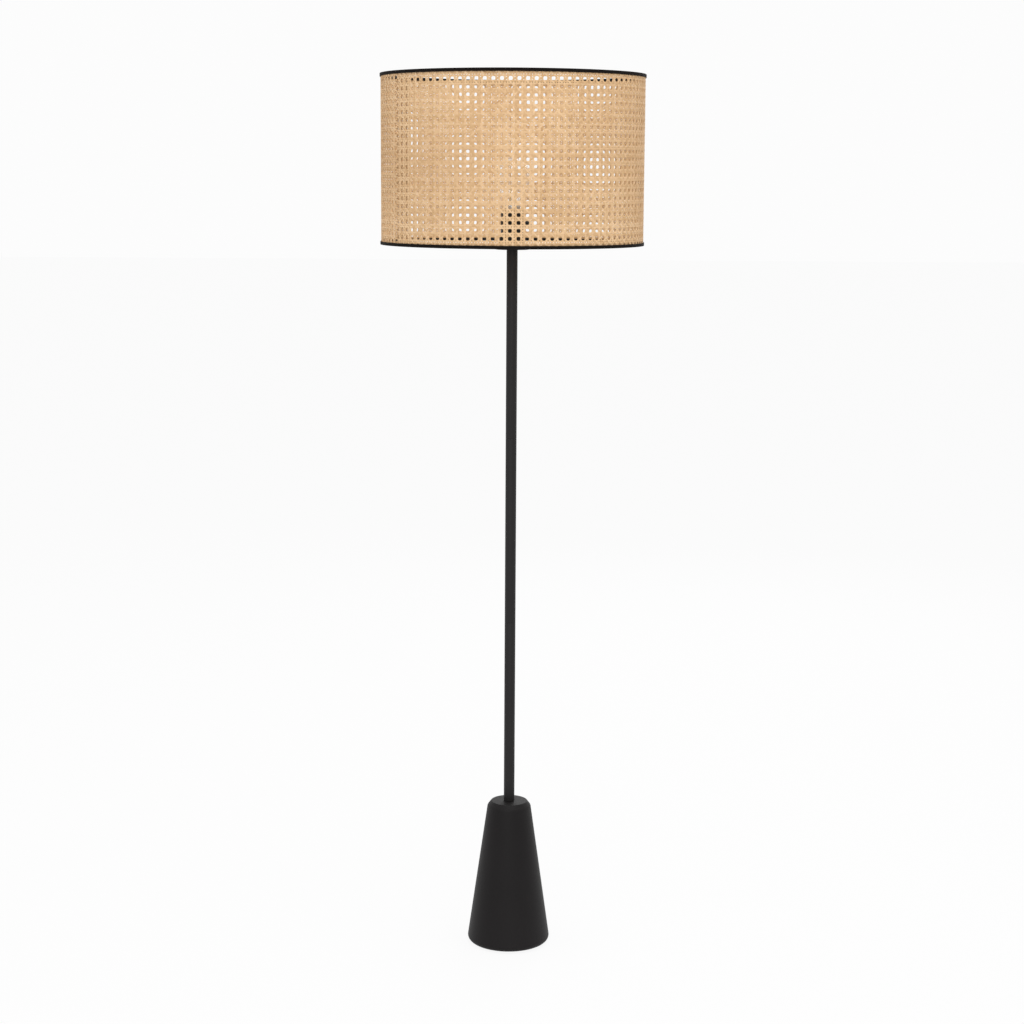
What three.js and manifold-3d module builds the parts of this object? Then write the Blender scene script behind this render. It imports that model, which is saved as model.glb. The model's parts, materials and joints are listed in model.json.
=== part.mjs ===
// Rattan floor lamp: a drum shade of open cane webbing on a slim black pole with a tall weighted cone base.
// Millimetres, +Z up. The origin is on the floor, on the lamp's axis.
// The switch knob points to +X and the cable outlet to +Y, which is the back.
import * as THREE from 'three';
import { mergeVertices } from 'three/addons/utils/BufferGeometryUtils.js';
import Module from 'manifold-3d';

const wasm = await Module();
wasm.setup();

// Fits that every piece shares
const seatGap = 0.3;
const cutOverrun = 2;
const weldTolerance = 0.0001;
const fullTurn = Math.PI * 2;
const quarterTurn = Math.PI / 2;

// How many flats stand for a full circle
const shadeFlats = 48;
const baseFlats = 40;
const poleFlats = 16;
const holderFlats = 24;
const smallFlats = 12;
const wireFlats = 6;
const cornerSteps = 3;
const glassSteps = 5;

// Base: a spun steel cone closed by a plate, drawn down on a cast iron weight
const baseHeight = 263;
const baseFootRadius = 75;
const baseCrownRadius = 37.5;
const baseFootRounding = 9;
const baseBevelWidth = 6.3;
const baseBevelTilt = THREE.MathUtils.degToRad(38);
const baseShoulderRounding = 8;
const baseEdgeBend = 0.5;
const baseWall = 1.5;
const baseLipWidth = 2;
const padThickness = 2;
const padInset = 2.5;
const plateThickness = 2.5;
const weightHeight = 95;
const recessDepth = 22;
const plateScrewCount = 3;
const plateScrewCircle = 42;
const plateScrewRadius = 2;
const plateScrewHeadRadius = 4;
const plateScrewHeadDepth = 2;
const plateScrewLength = 12;

// Cable outlet in the back of the base
const grommetLevel = 20;
const grommetBoreRadius = 3.4;
const grommetNeckRadius = 5.2;
const grommetFlangeRadius = 7.4;
const grommetFlangeThickness = 2;
const grommetGrooveSlack = 0.7;
const channelSpare = 1;

// One thread size serves the rod, the nipples and every nut
const threadRadius = 5;
const threadBoreRadius = 3.6;
const rodNutAcross = 17;
const rodNutHeight = 8;
const rodProud = 2;
const washerRadius = 13.5;
const washerThickness = 2;
const washerPlay = 1;

// Pole: tube sections screwed together end to end
const poleLength = 983;
const poleRadius = 9.5;
const poleWall = 1.2;
const insertHeight = 20;
const nippleShy = 3;
const sectionNames = ['pole_lower', 'pole_middle', 'pole_upper'];

// Seat disc on top of the pole
const discRadius = 29;
const discThickness = 4.5;
const discEdge = 0.6;

// Lamp holder with a rotary switch
const holderHeight = 64;
const shellRadius = 20;
const shellWall = 2;
const capHeight = 10;
const capFloor = 2.5;
const capStep = 1.1;
const capNeckHeight = 4.6;
const capNeckWall = 2;
const capNutAcross = 14;
const capNutHeight = 4;
const coreShy = 0.6;
const screwShellHeight = 19;
const screwShellWall = 0.5;
const screwShellHoleRadius = 6;
const contactRadius = 4;
const contactHeight = 1.2;
const terminalSpacing = 9;
const terminalHeadRadius = 2.8;
const terminalHeadHeight = 2;
const terminalShankRadius = 1.5;
const terminalShankLength = 8;

// Rotary switch knob on the side of the holder
const spindleLevel = 38;
const spindleRadius = 2.3;
const spindleDepth = 12.5;
const knobStandoff = 1.8;
const knobRadius = 6.5;
const knobLength = 11;
const knobBoreDepth = 7;
const knobFluteCount = 12;
const knobFluteDepth = 0.45;
const knobFlutePoints = 4;

// Bulb: clear glass with upright filaments on a standard screw cap
const bulbLength = 105;
const bulbRadius = 30;
const bulbCapRadius = 13.4;
const bulbCapHeight = 24;
const bulbCapConeHeight = 4;
const bulbCapFloor = 5;
const bulbCapWall = 0.5;
const bulbTipRadius = 4.5;
const bulbTipHeight = 1.6;
const glassWall = 0.9;
const glassDip = 15;
const stemRadius = 2.2;
const stemTop = 58;
const stemFlareThickness = 1.2;
const stemConeHeight = 12;
const stemCollarLevel = 27;
const stemCollarRadius = 7;
const stemCollarThickness = 1.5;
const stemButtonRadius = 4.4;
const stemButtonThickness = 1.8;
const filamentCount = 4;
const filamentRadius = 0.8;

// Shade: cane webbing between two wire hoops, with black edge trims
const shadeRadius = 226.5;
const shadeHeight = 287.2;
const trimHeight = 5.5;
const trimWall = 1;
const caneWall = 2;
const caneOpeningColumns = 24;
const caneOpeningRows = 8;
const caneUprightWidth = 32.5;
const caneCrossbarHeight = 13.4;
const hoopWireRadius = 2;

// Shade carrier: a ring on the seat disc, arms out to the lower hoop, and a ring nut that holds it down
const carrierRise = 3.4;
const carrierRingRadius = 31;
const carrierRingThickness = 2;
const carrierRingPlay = 1.8;
const carrierArmCount = 3;
const carrierArmRadius = 1.5;
const carrierArmSteps = 8;
const carrierArmBendShare = 0.25;
const ringNutHeight = 14;
const ringNutWall = 2;
const ringNutFlangeWidth = 6.5;
const ringNutFlangeThickness = 2.5;

// Glass outline: how far up the swell the bends of its curve lie
const bulbLowerBendShare = 0.37;
const bulbUpperBendShare = 0.53;

// Levels and radii that follow from the sizes above
const shellBottomLevel = padThickness + seatGap;
const plateTopLevel = shellBottomLevel + plateThickness;
const weightLevel = plateTopLevel + seatGap;
const coneSlope = (baseFootRadius - baseCrownRadius) / baseHeight;
const coneTilt = Math.atan(coneSlope);
const footCentreLevel = shellBottomLevel + baseFootRounding;
const footCentreRadius = coneRadiusAt(footCentreLevel) - baseFootRounding / Math.cos(coneTilt);
// The crown's bevel is the line that touches both the rounding of the shoulder and that of the crown's edge
const edgeRounding = baseWall + baseEdgeBend;
const edgeCentreLevel = baseHeight - edgeRounding;
const edgeCentreRadius = baseCrownRadius - baseBevelWidth;
const bevelCos = Math.cos(baseBevelTilt);
const bevelSin = Math.sin(baseBevelTilt);
const bevelReach = edgeCentreRadius * bevelCos + edgeCentreLevel * bevelSin + edgeRounding - baseShoulderRounding;
const shoulderFootRadius = baseFootRadius - baseShoulderRounding / Math.cos(coneTilt);
const shoulderCentreLevel = (bevelReach - shoulderFootRadius * bevelCos) / (bevelSin - coneSlope * bevelCos);
const shoulderCentreRadius = shoulderFootRadius - coneSlope * shoulderCentreLevel;
const lipRadius = footCentreRadius - baseLipWidth;
const weightTopLevel = weightLevel + weightHeight;
const weightTopRadius = coneRadiusAt(weightTopLevel) - (baseWall + seatGap) / Math.cos(coneTilt);
const threadHoleRadius = threadRadius + seatGap;
const recessCeiling = weightLevel + recessDepth;
const washerLevel = recessCeiling - seatGap - washerThickness;
const rodNutLevel = washerLevel - seatGap - rodNutHeight;
const rodFootLevel = rodNutLevel - rodProud;

const poleFootLevel = baseHeight + seatGap;
const poleTopLevel = poleFootLevel + poleLength;
const poleBoreRadius = poleRadius - poleWall;
const sectionCount = sectionNames.length;
const sectionLength = (poleLength - (sectionCount - 1) * seatGap) / sectionCount;

const discLevel = poleTopLevel + seatGap;
const holderLevel = discLevel + discThickness + seatGap;
const shellLevel = capHeight + seatGap;
const shellBoreRadius = shellRadius - shellWall;
const coreRadius = shellBoreRadius - seatGap;
const capNeckTop = capHeight + capNeckHeight;
const coreLevel = capNeckTop + seatGap;
const coreTop = holderHeight - coreShy;
const screwShellTop = coreTop - seatGap;
const screwShellLevel = screwShellTop - screwShellHeight;
const pocketLevel = screwShellLevel - seatGap;
const screwShellBoreRadius = bulbCapRadius + seatGap;
const screwShellRadius = screwShellBoreRadius + screwShellWall;
const pocketRadius = screwShellRadius + seatGap;
const contactLevel = pocketLevel + seatGap;
const bulbLevel = contactLevel + contactHeight + seatGap;
const capNutLevel = capFloor + seatGap;
const topNippleTop = capNutLevel + capNutHeight + rodProud;
const spindleStart = shellRadius - spindleDepth;
const knobStart = shellRadius + knobStandoff;
const spindleEnd = knobStart + knobBoreDepth - seatGap;

const ringNutLevel = carrierRingThickness + seatGap;
const ringNutBoreRadius = shellRadius + seatGap;
const ringNutFlangeRadius = ringNutBoreRadius + ringNutFlangeWidth;
const shadeLevel = holderLevel + carrierRise;
const caneOuterRadius = shadeRadius - trimWall - seatGap;
const caneInnerRadius = caneOuterRadius - caneWall;
const caneEdge = trimWall + seatGap;
const hoopRadius = caneInnerRadius - seatGap - hoopWireRadius;
const hoopLevel = caneEdge + hoopWireRadius;
const trimInnerRadius = hoopRadius - hoopWireRadius;

// Finishes
const blackMetal = new THREE.MeshStandardMaterial({ color: 0x2a2828, roughness: 0.55, metalness: 0.6 });
const castIron = new THREE.MeshStandardMaterial({ color: 0x4b4a48, roughness: 0.8, metalness: 0.7 });
const zincSteel = new THREE.MeshStandardMaterial({ color: 0xb4b6b8, roughness: 0.35, metalness: 1 });
const brass = new THREE.MeshStandardMaterial({ color: 0xc9a24c, roughness: 0.3, metalness: 1 });
const blackPlastic = new THREE.MeshStandardMaterial({ color: 0x151515, roughness: 0.45, metalness: 0 });
const paleCeramic = new THREE.MeshStandardMaterial({ color: 0xe8e2d4, roughness: 0.4, metalness: 0 });
const blackRubber = new THREE.MeshStandardMaterial({ color: 0x1c1c1c, roughness: 0.8, metalness: 0 });
const greyFelt = new THREE.MeshStandardMaterial({ color: 0x3a3938, roughness: 1, metalness: 0 });
const rattan = new THREE.MeshStandardMaterial({ color: 0xdebe99, roughness: 0.6, metalness: 0 });
const blackTape = new THREE.MeshStandardMaterial({ color: 0x161414, roughness: 0.7, metalness: 0 });
const clearGlass = new THREE.MeshStandardMaterial({
  color: 0xf2f5f5, roughness: 0.05, metalness: 0, transparent: true, opacity: 0.3,
});
const filamentYellow = new THREE.MeshStandardMaterial({ color: 0xe8b54a, roughness: 0.5, metalness: 0 });

// Radius of the cone's outer side at a level above the floor
function coneRadiusAt(level) {
  return baseFootRadius - coneSlope * level;
}

// Geometry with shared vertices joined and the triangles that collapse on the axis left out
function welded(geometry) {
  const plain = geometry.clone();
  plain.deleteAttribute('normal');
  plain.deleteAttribute('uv');
  const joined = mergeVertices(plain, weldTolerance);
  const corners = joined.index.array;
  const kept = [];
  for (let i = 0; i < corners.length; i += 3) {
    const [a, b, c] = [corners[i], corners[i + 1], corners[i + 2]];
    if (a !== b && b !== c && c !== a) kept.push(a, b, c);
  }
  joined.setIndex(kept);
  joined.computeVertexNormals();
  return joined;
}

// A profile of [radius, height] points turned round the Z axis, outer side upwards
function turned(profile, flats) {
  const outline = profile.map(([radius, height]) => new THREE.Vector2(radius, height));
  const geometry = new THREE.LatheGeometry(outline, flats);
  geometry.rotateX(quarterTurn);
  return welded(geometry);
}

function turnedRing(profile, flats) {
  return turned([...profile, profile[0]], flats);
}

function sleeve(boreRadius, outerRadius, height, flats) {
  const profile = [[boreRadius, 0], [outerRadius, 0], [outerRadius, height], [boreRadius, height]];
  return turnedRing(profile, flats);
}

function roundBar(radius, height, flats) {
  return turned([[0, 0], [radius, 0], [radius, height], [0, height]], flats);
}

function hexNut(across, boreRadius, height) {
  const cornerRadius = across / Math.sqrt(3);
  const corners = [0, 1, 2, 3, 4, 5].map((i) => {
    const angle = (i * fullTurn) / 6;
    return new THREE.Vector2(cornerRadius * Math.cos(angle), cornerRadius * Math.sin(angle));
  });
  const shape = new THREE.Shape(corners);
  shape.holes.push(new THREE.Path().absarc(0, 0, boreRadius, 0, fullTurn, true));
  return welded(new THREE.ExtrudeGeometry(shape, { depth: height, bevelEnabled: false, curveSegments: smallFlats }));
}

function arcPoints(centreRadius, centreLevel, radius, from, to) {
  const points = [];
  for (let i = 0; i <= cornerSteps; i += 1) {
    const angle = from + ((to - from) * i) / cornerSteps;
    points.push([centreRadius + radius * Math.cos(angle), centreLevel + radius * Math.sin(angle)]);
  }
  return points;
}

function toSolid(geometry) {
  const vertProperties = new Float32Array(geometry.attributes.position.array);
  const triVerts = new Uint32Array(geometry.index.array);
  return new wasm.Manifold(new wasm.Mesh({ numProp: 3, vertProperties, triVerts }));
}

// The first geometry with each of the others cut away from it
function carved(geometry, cutters) {
  let solid = toSolid(geometry);
  for (const cutter of cutters) solid = solid.subtract(toSolid(cutter));
  const mesh = solid.getMesh();
  const result = new THREE.BufferGeometry();
  result.setAttribute('position', new THREE.BufferAttribute(mesh.vertProperties, mesh.numProp));
  result.setIndex(new THREE.BufferAttribute(mesh.triVerts, 1));
  result.computeVertexNormals();
  return result;
}

function addPiece(group, name, geometry, material, level = 0) {
  const mesh = new THREE.Mesh(geometry, material);
  mesh.name = name;
  mesh.position.z = level;
  group.add(mesh);
  return mesh;
}

// Points spaced evenly on a circle, as [x, y] pairs
function onCircle(count, radius, startAngle) {
  return Array.from({ length: count }, (_, i) => {
    const angle = startAngle + (i * fullTurn) / count;
    return [radius * Math.cos(angle), radius * Math.sin(angle)];
  });
}

// Cone outline from the lip, round the foot edge, up the side, round the shoulder, up the bevel and over the crown
function conePath(inset) {
  const footRadius = baseFootRounding - inset;
  const shoulderRadius = baseShoulderRounding - inset;
  const edgeRadius = edgeRounding - inset;
  return [
    [lipRadius, shellBottomLevel + inset],
    ...arcPoints(footCentreRadius, footCentreLevel, footRadius, -quarterTurn, coneTilt),
    ...arcPoints(shoulderCentreRadius, shoulderCentreLevel, shoulderRadius, coneTilt, baseBevelTilt),
    ...arcPoints(edgeCentreRadius, edgeCentreLevel, edgeRadius, baseBevelTilt, quarterTurn),
    [threadHoleRadius, baseHeight - inset],
  ];
}

// Group whose Z axis stands square to the cone's side at the back, at the cable outlet
function outletFrame() {
  const frame = new THREE.Group();
  frame.position.set(0, coneRadiusAt(grommetLevel), grommetLevel);
  frame.rotation.x = coneTilt - quarterTurn;
  frame.updateMatrix();
  return frame;
}

function baseShellGeometry() {
  const shell = turnedRing([...conePath(0), ...conePath(baseWall).reverse()], baseFlats);
  const hole = roundBar(grommetNeckRadius + seatGap, baseWall + cutOverrun * 2, smallFlats);
  hole.translate(0, 0, -baseWall - cutOverrun);
  hole.applyMatrix4(outletFrame().matrix);
  return carved(shell, [hole]);
}

function grommetGeometry() {
  const groove = baseWall + grommetGrooveSlack * 2;
  const innerFace = -grommetFlangeThickness - groove;
  return turnedRing([
    [grommetBoreRadius, innerFace],
    [grommetFlangeRadius, innerFace],
    [grommetFlangeRadius, -groove],
    [grommetNeckRadius, -groove],
    [grommetNeckRadius, 0],
    [grommetFlangeRadius, 0],
    [grommetFlangeRadius, grommetFlangeThickness],
    [grommetBoreRadius, grommetFlangeThickness],
  ], smallFlats);
}

// Cast iron weight with the rod's bore, the nut's recess, the cable's channel and the plate's screw holes
function baseWeightGeometry() {
  const weight = turned([
    [0, 0],
    [lipRadius - seatGap, 0],
    [weightTopRadius, weightHeight],
    [0, weightHeight],
  ], baseFlats);
  const bore = roundBar(threadHoleRadius, weightHeight + cutOverrun * 2, smallFlats);
  bore.translate(0, 0, -cutOverrun);
  const recess = roundBar(washerRadius + washerPlay, recessDepth + cutOverrun, holderFlats);
  recess.translate(0, 0, -cutOverrun);
  const channelWidth = (grommetBoreRadius + channelSpare) * 2;
  const channelLength = lipRadius + cutOverrun;
  const channel = new THREE.BoxGeometry(channelWidth, channelLength, recessDepth + cutOverrun);
  channel.translate(0, channelLength / 2, (recessDepth - cutOverrun) / 2);
  const screwHoles = plateScrewPlaces().map(([x, y]) => {
    const depth = plateScrewLength - plateThickness;
    const hole = roundBar(plateScrewRadius + seatGap, depth + cutOverrun, smallFlats);
    return hole.translate(x, y, -cutOverrun);
  });
  return carved(weight, [bore, recess, welded(channel), ...screwHoles]);
}

function plateScrewPlaces() {
  return onCircle(plateScrewCount, plateScrewCircle, -quarterTurn);
}

// Countersunk screw, head down, flush with the underside of the plate
function plateScrewGeometry() {
  return turned([
    [0, 0],
    [plateScrewHeadRadius, 0],
    [plateScrewRadius, plateScrewHeadDepth],
    [plateScrewRadius, plateScrewLength],
    [0, plateScrewLength],
  ], smallFlats);
}

function countersinkGeometry() {
  const mouth = plateScrewHeadRadius + seatGap;
  const hole = plateScrewRadius + seatGap;
  return turned([
    [0, -cutOverrun],
    [mouth, -cutOverrun],
    [mouth, 0],
    [hole, plateScrewHeadDepth],
    [hole, plateScrewLength],
    [0, plateScrewLength],
  ], smallFlats);
}

function basePlateGeometry() {
  const plate = roundBar(lipRadius - seatGap, plateThickness, baseFlats);
  const holes = plateScrewPlaces().map(([x, y]) => countersinkGeometry().translate(x, y, 0));
  return carved(plate, holes);
}

function buildBase() {
  const base = new THREE.Group();
  addPiece(base, 'floor_pad', roundBar(lipRadius - padInset, padThickness, baseFlats), greyFelt);
  addPiece(base, 'base_plate', basePlateGeometry(), blackMetal, shellBottomLevel);
  plateScrewPlaces().forEach(([x, y], i) => {
    const screw = addPiece(base, `plate_screw_${i + 1}`, plateScrewGeometry(), zincSteel, shellBottomLevel);
    screw.position.x = x;
    screw.position.y = y;
  });
  addPiece(base, 'base_shell', baseShellGeometry(), blackMetal);
  addPiece(base, 'base_weight', baseWeightGeometry(), castIron, weightLevel);
  const outlet = outletFrame();
  addPiece(outlet, 'cable_grommet', grommetGeometry(), blackRubber, grommetGrooveSlack);
  base.add(outlet);
  const rodLength = poleFootLevel + insertHeight - nippleShy - rodFootLevel;
  addPiece(base, 'center_rod', sleeve(threadBoreRadius, threadRadius, rodLength, smallFlats), zincSteel, rodFootLevel);
  addPiece(base, 'rod_nut', hexNut(rodNutAcross, threadHoleRadius, rodNutHeight), zincSteel, rodNutLevel);
  const washer = sleeve(threadHoleRadius, washerRadius, washerThickness, smallFlats);
  addPiece(base, 'rod_washer', washer, zincSteel, washerLevel);
  return base;
}

// Tube sections, each with a threaded insert flush with both ends, and nipples that join them
function buildPole() {
  const pole = new THREE.Group();
  pole.position.z = poleFootLevel;
  const insertRadius = poleBoreRadius - seatGap;
  const nippleHalf = insertHeight - nippleShy;
  sectionNames.forEach((name, i) => {
    const foot = i * (sectionLength + seatGap);
    const insertTop = foot + sectionLength - insertHeight;
    addPiece(pole, name, sleeve(poleBoreRadius, poleRadius, sectionLength, poleFlats), blackMetal, foot);
    [foot, insertTop].forEach((level, end) => {
      const insert = sleeve(threadHoleRadius, insertRadius, insertHeight, poleFlats);
      addPiece(pole, `pole_insert_${i * 2 + end + 1}`, insert, zincSteel, level);
    });
    if (i === 0) return;
    const length = nippleHalf * 2;
    const nipple = sleeve(threadBoreRadius, threadRadius, length, smallFlats);
    addPiece(pole, `pole_nipple_${i}`, nipple, zincSteel, foot - seatGap / 2 - nippleHalf);
  });
  return pole;
}

function discGeometry() {
  return turnedRing([
    [threadHoleRadius, 0],
    [discRadius - discEdge, 0],
    [discRadius, discEdge],
    [discRadius, discThickness - discEdge],
    [discRadius - discEdge, discThickness],
    [threadHoleRadius, discThickness],
  ], holderFlats);
}

function holderCapGeometry() {
  const capRadius = coreRadius + capStep;
  const innerRadius = coreRadius - capNeckWall;
  return turnedRing([
    [threadHoleRadius, 0],
    [capRadius, 0],
    [capRadius, capHeight],
    [coreRadius, capHeight],
    [coreRadius, capNeckTop],
    [innerRadius, capNeckTop],
    [innerRadius, capFloor],
    [threadHoleRadius, capFloor],
  ], holderFlats);
}

// A bar along +X at the switch's level, from the axis side outwards, in the holder's own heights
function switchBore(start, end, base) {
  const bore = roundBar(spindleRadius + seatGap, end - start, smallFlats);
  bore.rotateY(quarterTurn);
  return bore.translate(start, 0, spindleLevel - base);
}

function holderShellGeometry() {
  const shell = sleeve(shellBoreRadius, shellRadius, holderHeight - shellLevel, holderFlats);
  return carved(shell, [switchBore(shellBoreRadius - cutOverrun, shellRadius + cutOverrun, shellLevel)]);
}

// Insulating core: the screw shell's pocket above, the switch's bore at the side, terminal holes below
function holderCoreGeometry() {
  const core = roundBar(coreRadius, coreTop - coreLevel, holderFlats);
  const pocket = roundBar(pocketRadius, coreTop - pocketLevel + cutOverrun, holderFlats);
  pocket.translate(0, 0, pocketLevel - coreLevel);
  const terminalHoles = terminalPlaces().map(([x, y]) => {
    const hole = roundBar(terminalShankRadius + seatGap, terminalShankLength + cutOverrun, smallFlats);
    return hole.translate(x, y, -cutOverrun);
  });
  const spindleBore = switchBore(spindleStart - seatGap, coreRadius + cutOverrun, coreLevel);
  return carved(core, [pocket, spindleBore, ...terminalHoles]);
}

function screwShellGeometry() {
  return turnedRing([
    [screwShellHoleRadius, 0],
    [screwShellRadius, 0],
    [screwShellRadius, screwShellHeight],
    [screwShellBoreRadius, screwShellHeight],
    [screwShellBoreRadius, screwShellWall],
    [screwShellHoleRadius, screwShellWall],
  ], holderFlats);
}

function terminalPlaces() {
  return onCircle(2, terminalSpacing, quarterTurn);
}

function terminalScrewGeometry() {
  const top = terminalHeadHeight + terminalShankLength;
  return turned([
    [0, 0],
    [terminalHeadRadius, 0],
    [terminalHeadRadius, terminalHeadHeight],
    [terminalShankRadius, terminalHeadHeight],
    [terminalShankRadius, top],
    [0, top],
  ], smallFlats);
}

// Knob with shallow flutes round its rim and a blind bore for the spindle
function knobGeometry() {
  const pointCount = knobFluteCount * knobFlutePoints;
  const rim = Array.from({ length: pointCount }, (_, i) => {
    const angle = (i * fullTurn) / pointCount;
    const dip = (knobFluteDepth * (1 - Math.cos(angle * knobFluteCount))) / 2;
    const radius = knobRadius - dip;
    return new THREE.Vector2(radius * Math.cos(angle), radius * Math.sin(angle));
  });
  const body = new THREE.ExtrudeGeometry(new THREE.Shape(rim), { depth: knobLength, bevelEnabled: false });
  const bore = roundBar(spindleRadius + seatGap, knobBoreDepth + cutOverrun, smallFlats);
  bore.translate(0, 0, -cutOverrun);
  return carved(welded(body), [bore]);
}

function ringNutGeometry() {
  const outerRadius = ringNutBoreRadius + ringNutWall;
  return turnedRing([
    [ringNutBoreRadius, 0],
    [ringNutFlangeRadius, 0],
    [ringNutFlangeRadius, ringNutFlangeThickness],
    [outerRadius, ringNutFlangeThickness],
    [outerRadius, ringNutHeight],
    [ringNutBoreRadius, ringNutHeight],
  ], holderFlats);
}

function buildSwitch() {
  const control = new THREE.Group();
  control.position.z = spindleLevel;
  control.rotation.y = quarterTurn;
  const spindle = roundBar(spindleRadius, spindleEnd - spindleStart, smallFlats);
  addPiece(control, 'switch_spindle', spindle, brass, spindleStart);
  addPiece(control, 'switch_knob', knobGeometry(), blackPlastic, knobStart);
  return control;
}

function buildHolder() {
  const holder = new THREE.Group();
  holder.position.z = holderLevel;
  const nippleFoot = poleTopLevel - insertHeight + nippleShy - holderLevel;
  const nipple = sleeve(threadBoreRadius, threadRadius, topNippleTop - nippleFoot, smallFlats);
  addPiece(holder, 'top_nipple', nipple, zincSteel, nippleFoot);
  addPiece(holder, 'seat_disc', discGeometry(), blackMetal, discLevel - holderLevel);
  addPiece(holder, 'holder_cap', holderCapGeometry(), blackPlastic);
  addPiece(holder, 'holder_nut', hexNut(capNutAcross, threadHoleRadius, capNutHeight), zincSteel, capNutLevel);
  addPiece(holder, 'holder_shell', holderShellGeometry(), blackPlastic, shellLevel);
  addPiece(holder, 'holder_core', holderCoreGeometry(), paleCeramic, coreLevel);
  addPiece(holder, 'screw_shell', screwShellGeometry(), brass, screwShellLevel);
  addPiece(holder, 'centre_contact', roundBar(contactRadius, contactHeight, smallFlats), brass, contactLevel);
  terminalPlaces().forEach(([x, y], i) => {
    const level = coreLevel - seatGap - terminalHeadHeight;
    const screw = addPiece(holder, `terminal_screw_${i + 1}`, terminalScrewGeometry(), brass, level);
    screw.position.x = x;
    screw.position.y = y;
  });
  addPiece(holder, 'shade_ring', ringNutGeometry(), blackPlastic, ringNutLevel);
  holder.add(buildSwitch(), buildBulb());
  return holder;
}

// Bulb outline above the cap: a swelling curve from the neck, then a dome
function bulbOutline(inset) {
  const neck = bulbCapRadius - bulbCapWall - seatGap - inset;
  const belly = bulbRadius - inset;
  const domeCentre = bulbLength - bulbRadius;
  const swell = domeCentre - bulbCapHeight;
  const curve = new THREE.CubicBezierCurve(
    new THREE.Vector2(neck, bulbCapHeight),
    new THREE.Vector2(neck, bulbCapHeight + swell * bulbLowerBendShare),
    new THREE.Vector2(belly, bulbCapHeight + swell * bulbUpperBendShare),
    new THREE.Vector2(belly, domeCentre),
  );
  const swelling = curve.getPoints(glassSteps).map((point) => [point.x, point.y]);
  const dome = [];
  for (let i = 1; i <= glassSteps; i += 1) {
    const angle = (quarterTurn * i) / glassSteps;
    const radius = i === glassSteps ? 0 : belly * Math.cos(angle);
    dome.push([radius, domeCentre + belly * Math.sin(angle)]);
  }
  return [[neck, bulbCapHeight - glassDip], ...swelling, ...dome];
}

function bulbCapGeometry() {
  const foot = bulbTipHeight + seatGap;
  const boreRadius = bulbCapRadius - bulbCapWall;
  return turned([
    [0, foot],
    [bulbTipRadius, foot],
    [bulbCapRadius, foot + bulbCapConeHeight],
    [bulbCapRadius, bulbCapHeight],
    [boreRadius, bulbCapHeight],
    [boreRadius, foot + bulbCapFloor],
    [0, foot + bulbCapFloor],
  ], holderFlats);
}

// Glass stem: a flare held in the neck, a collar at the filaments' feet and a button at their tops
function bulbStemGeometry() {
  const flareRadius = bulbCapRadius - bulbCapWall - glassWall - seatGap * 2;
  const flareLevel = bulbCapHeight - glassDip;
  const coneTop = flareLevel + stemFlareThickness + stemConeHeight;
  const buttonLevel = stemTop - stemButtonThickness;
  return turned([
    [0, flareLevel],
    [flareRadius, flareLevel],
    [flareRadius, flareLevel + stemFlareThickness],
    [stemRadius, coneTop],
    [stemRadius, stemCollarLevel],
    [stemCollarRadius, stemCollarLevel],
    [stemCollarRadius, stemCollarLevel + stemCollarThickness],
    [stemRadius, stemCollarLevel + stemCollarThickness],
    [stemRadius, buttonLevel],
    [stemButtonRadius, buttonLevel],
    [stemButtonRadius, stemTop],
    [0, stemTop],
  ], smallFlats);
}

// Filaments lean in from the collar's rim to the button's rim
function addFilaments(bulb) {
  const footRadius = stemCollarRadius - filamentRadius;
  const topRadius = stemButtonRadius - filamentRadius;
  const footLevel = stemCollarLevel + stemCollarThickness + seatGap;
  const topLevel = stemTop - stemButtonThickness - seatGap;
  const up = new THREE.Vector3(0, 0, 1);
  const feet = onCircle(filamentCount, footRadius, quarterTurn / 2);
  const tops = onCircle(filamentCount, topRadius, quarterTurn / 2);
  feet.forEach(([x, y], i) => {
    const run = new THREE.Vector3(tops[i][0] - x, tops[i][1] - y, topLevel - footLevel);
    const tilt = filamentRadius * Math.hypot(run.x, run.y) / run.z;
    const bar = roundBar(filamentRadius, run.length() - tilt * 2, wireFlats);
    const filament = addPiece(bulb, `bulb_filament_${i + 1}`, bar, filamentYellow, footLevel + tilt);
    filament.position.x = x;
    filament.position.y = y;
    filament.quaternion.setFromUnitVectors(up, run.normalize());
  });
}

function buildBulb() {
  const bulb = new THREE.Group();
  bulb.position.z = bulbLevel;
  addPiece(bulb, 'bulb_tip', roundBar(bulbTipRadius, bulbTipHeight, smallFlats), zincSteel);
  addPiece(bulb, 'bulb_cap', bulbCapGeometry(), zincSteel);
  const glass = turnedRing([...bulbOutline(0), ...bulbOutline(glassWall).reverse()], holderFlats);
  addPiece(bulb, 'bulb_glass', glass, clearGlass);
  addPiece(bulb, 'bulb_stem', bulbStemGeometry(), clearGlass);
  addFilaments(bulb);
  return bulb;
}

// Webbing panel: a drum wall with a plain grid of openings, each column in the middle of a flat
function canePanelGeometry() {
  const height = shadeHeight - caneEdge * 2;
  const middleRadius = (caneInnerRadius + caneOuterRadius) / 2;
  const rowPitch = height / caneOpeningRows;
  const columnPitch = (fullTurn * middleRadius) / caneOpeningColumns;
  const openingWidth = columnPitch - caneUprightWidth;
  const openingHeight = rowPitch - caneCrossbarHeight;
  const openings = [];
  for (let row = 0; row < caneOpeningRows; row += 1) {
    for (let column = 0; column < caneOpeningColumns; column += 1) {
      const opening = new THREE.BoxGeometry(caneWall + cutOverrun * 2, openingWidth, openingHeight);
      opening.translate(middleRadius, 0, rowPitch * (row + 1 / 2));
      opening.rotateZ((fullTurn * column) / caneOpeningColumns + fullTurn / shadeFlats / 2);
      openings.push(welded(opening));
    }
  }
  return carved(sleeve(caneInnerRadius, caneOuterRadius, height, shadeFlats), openings);
}

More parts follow.
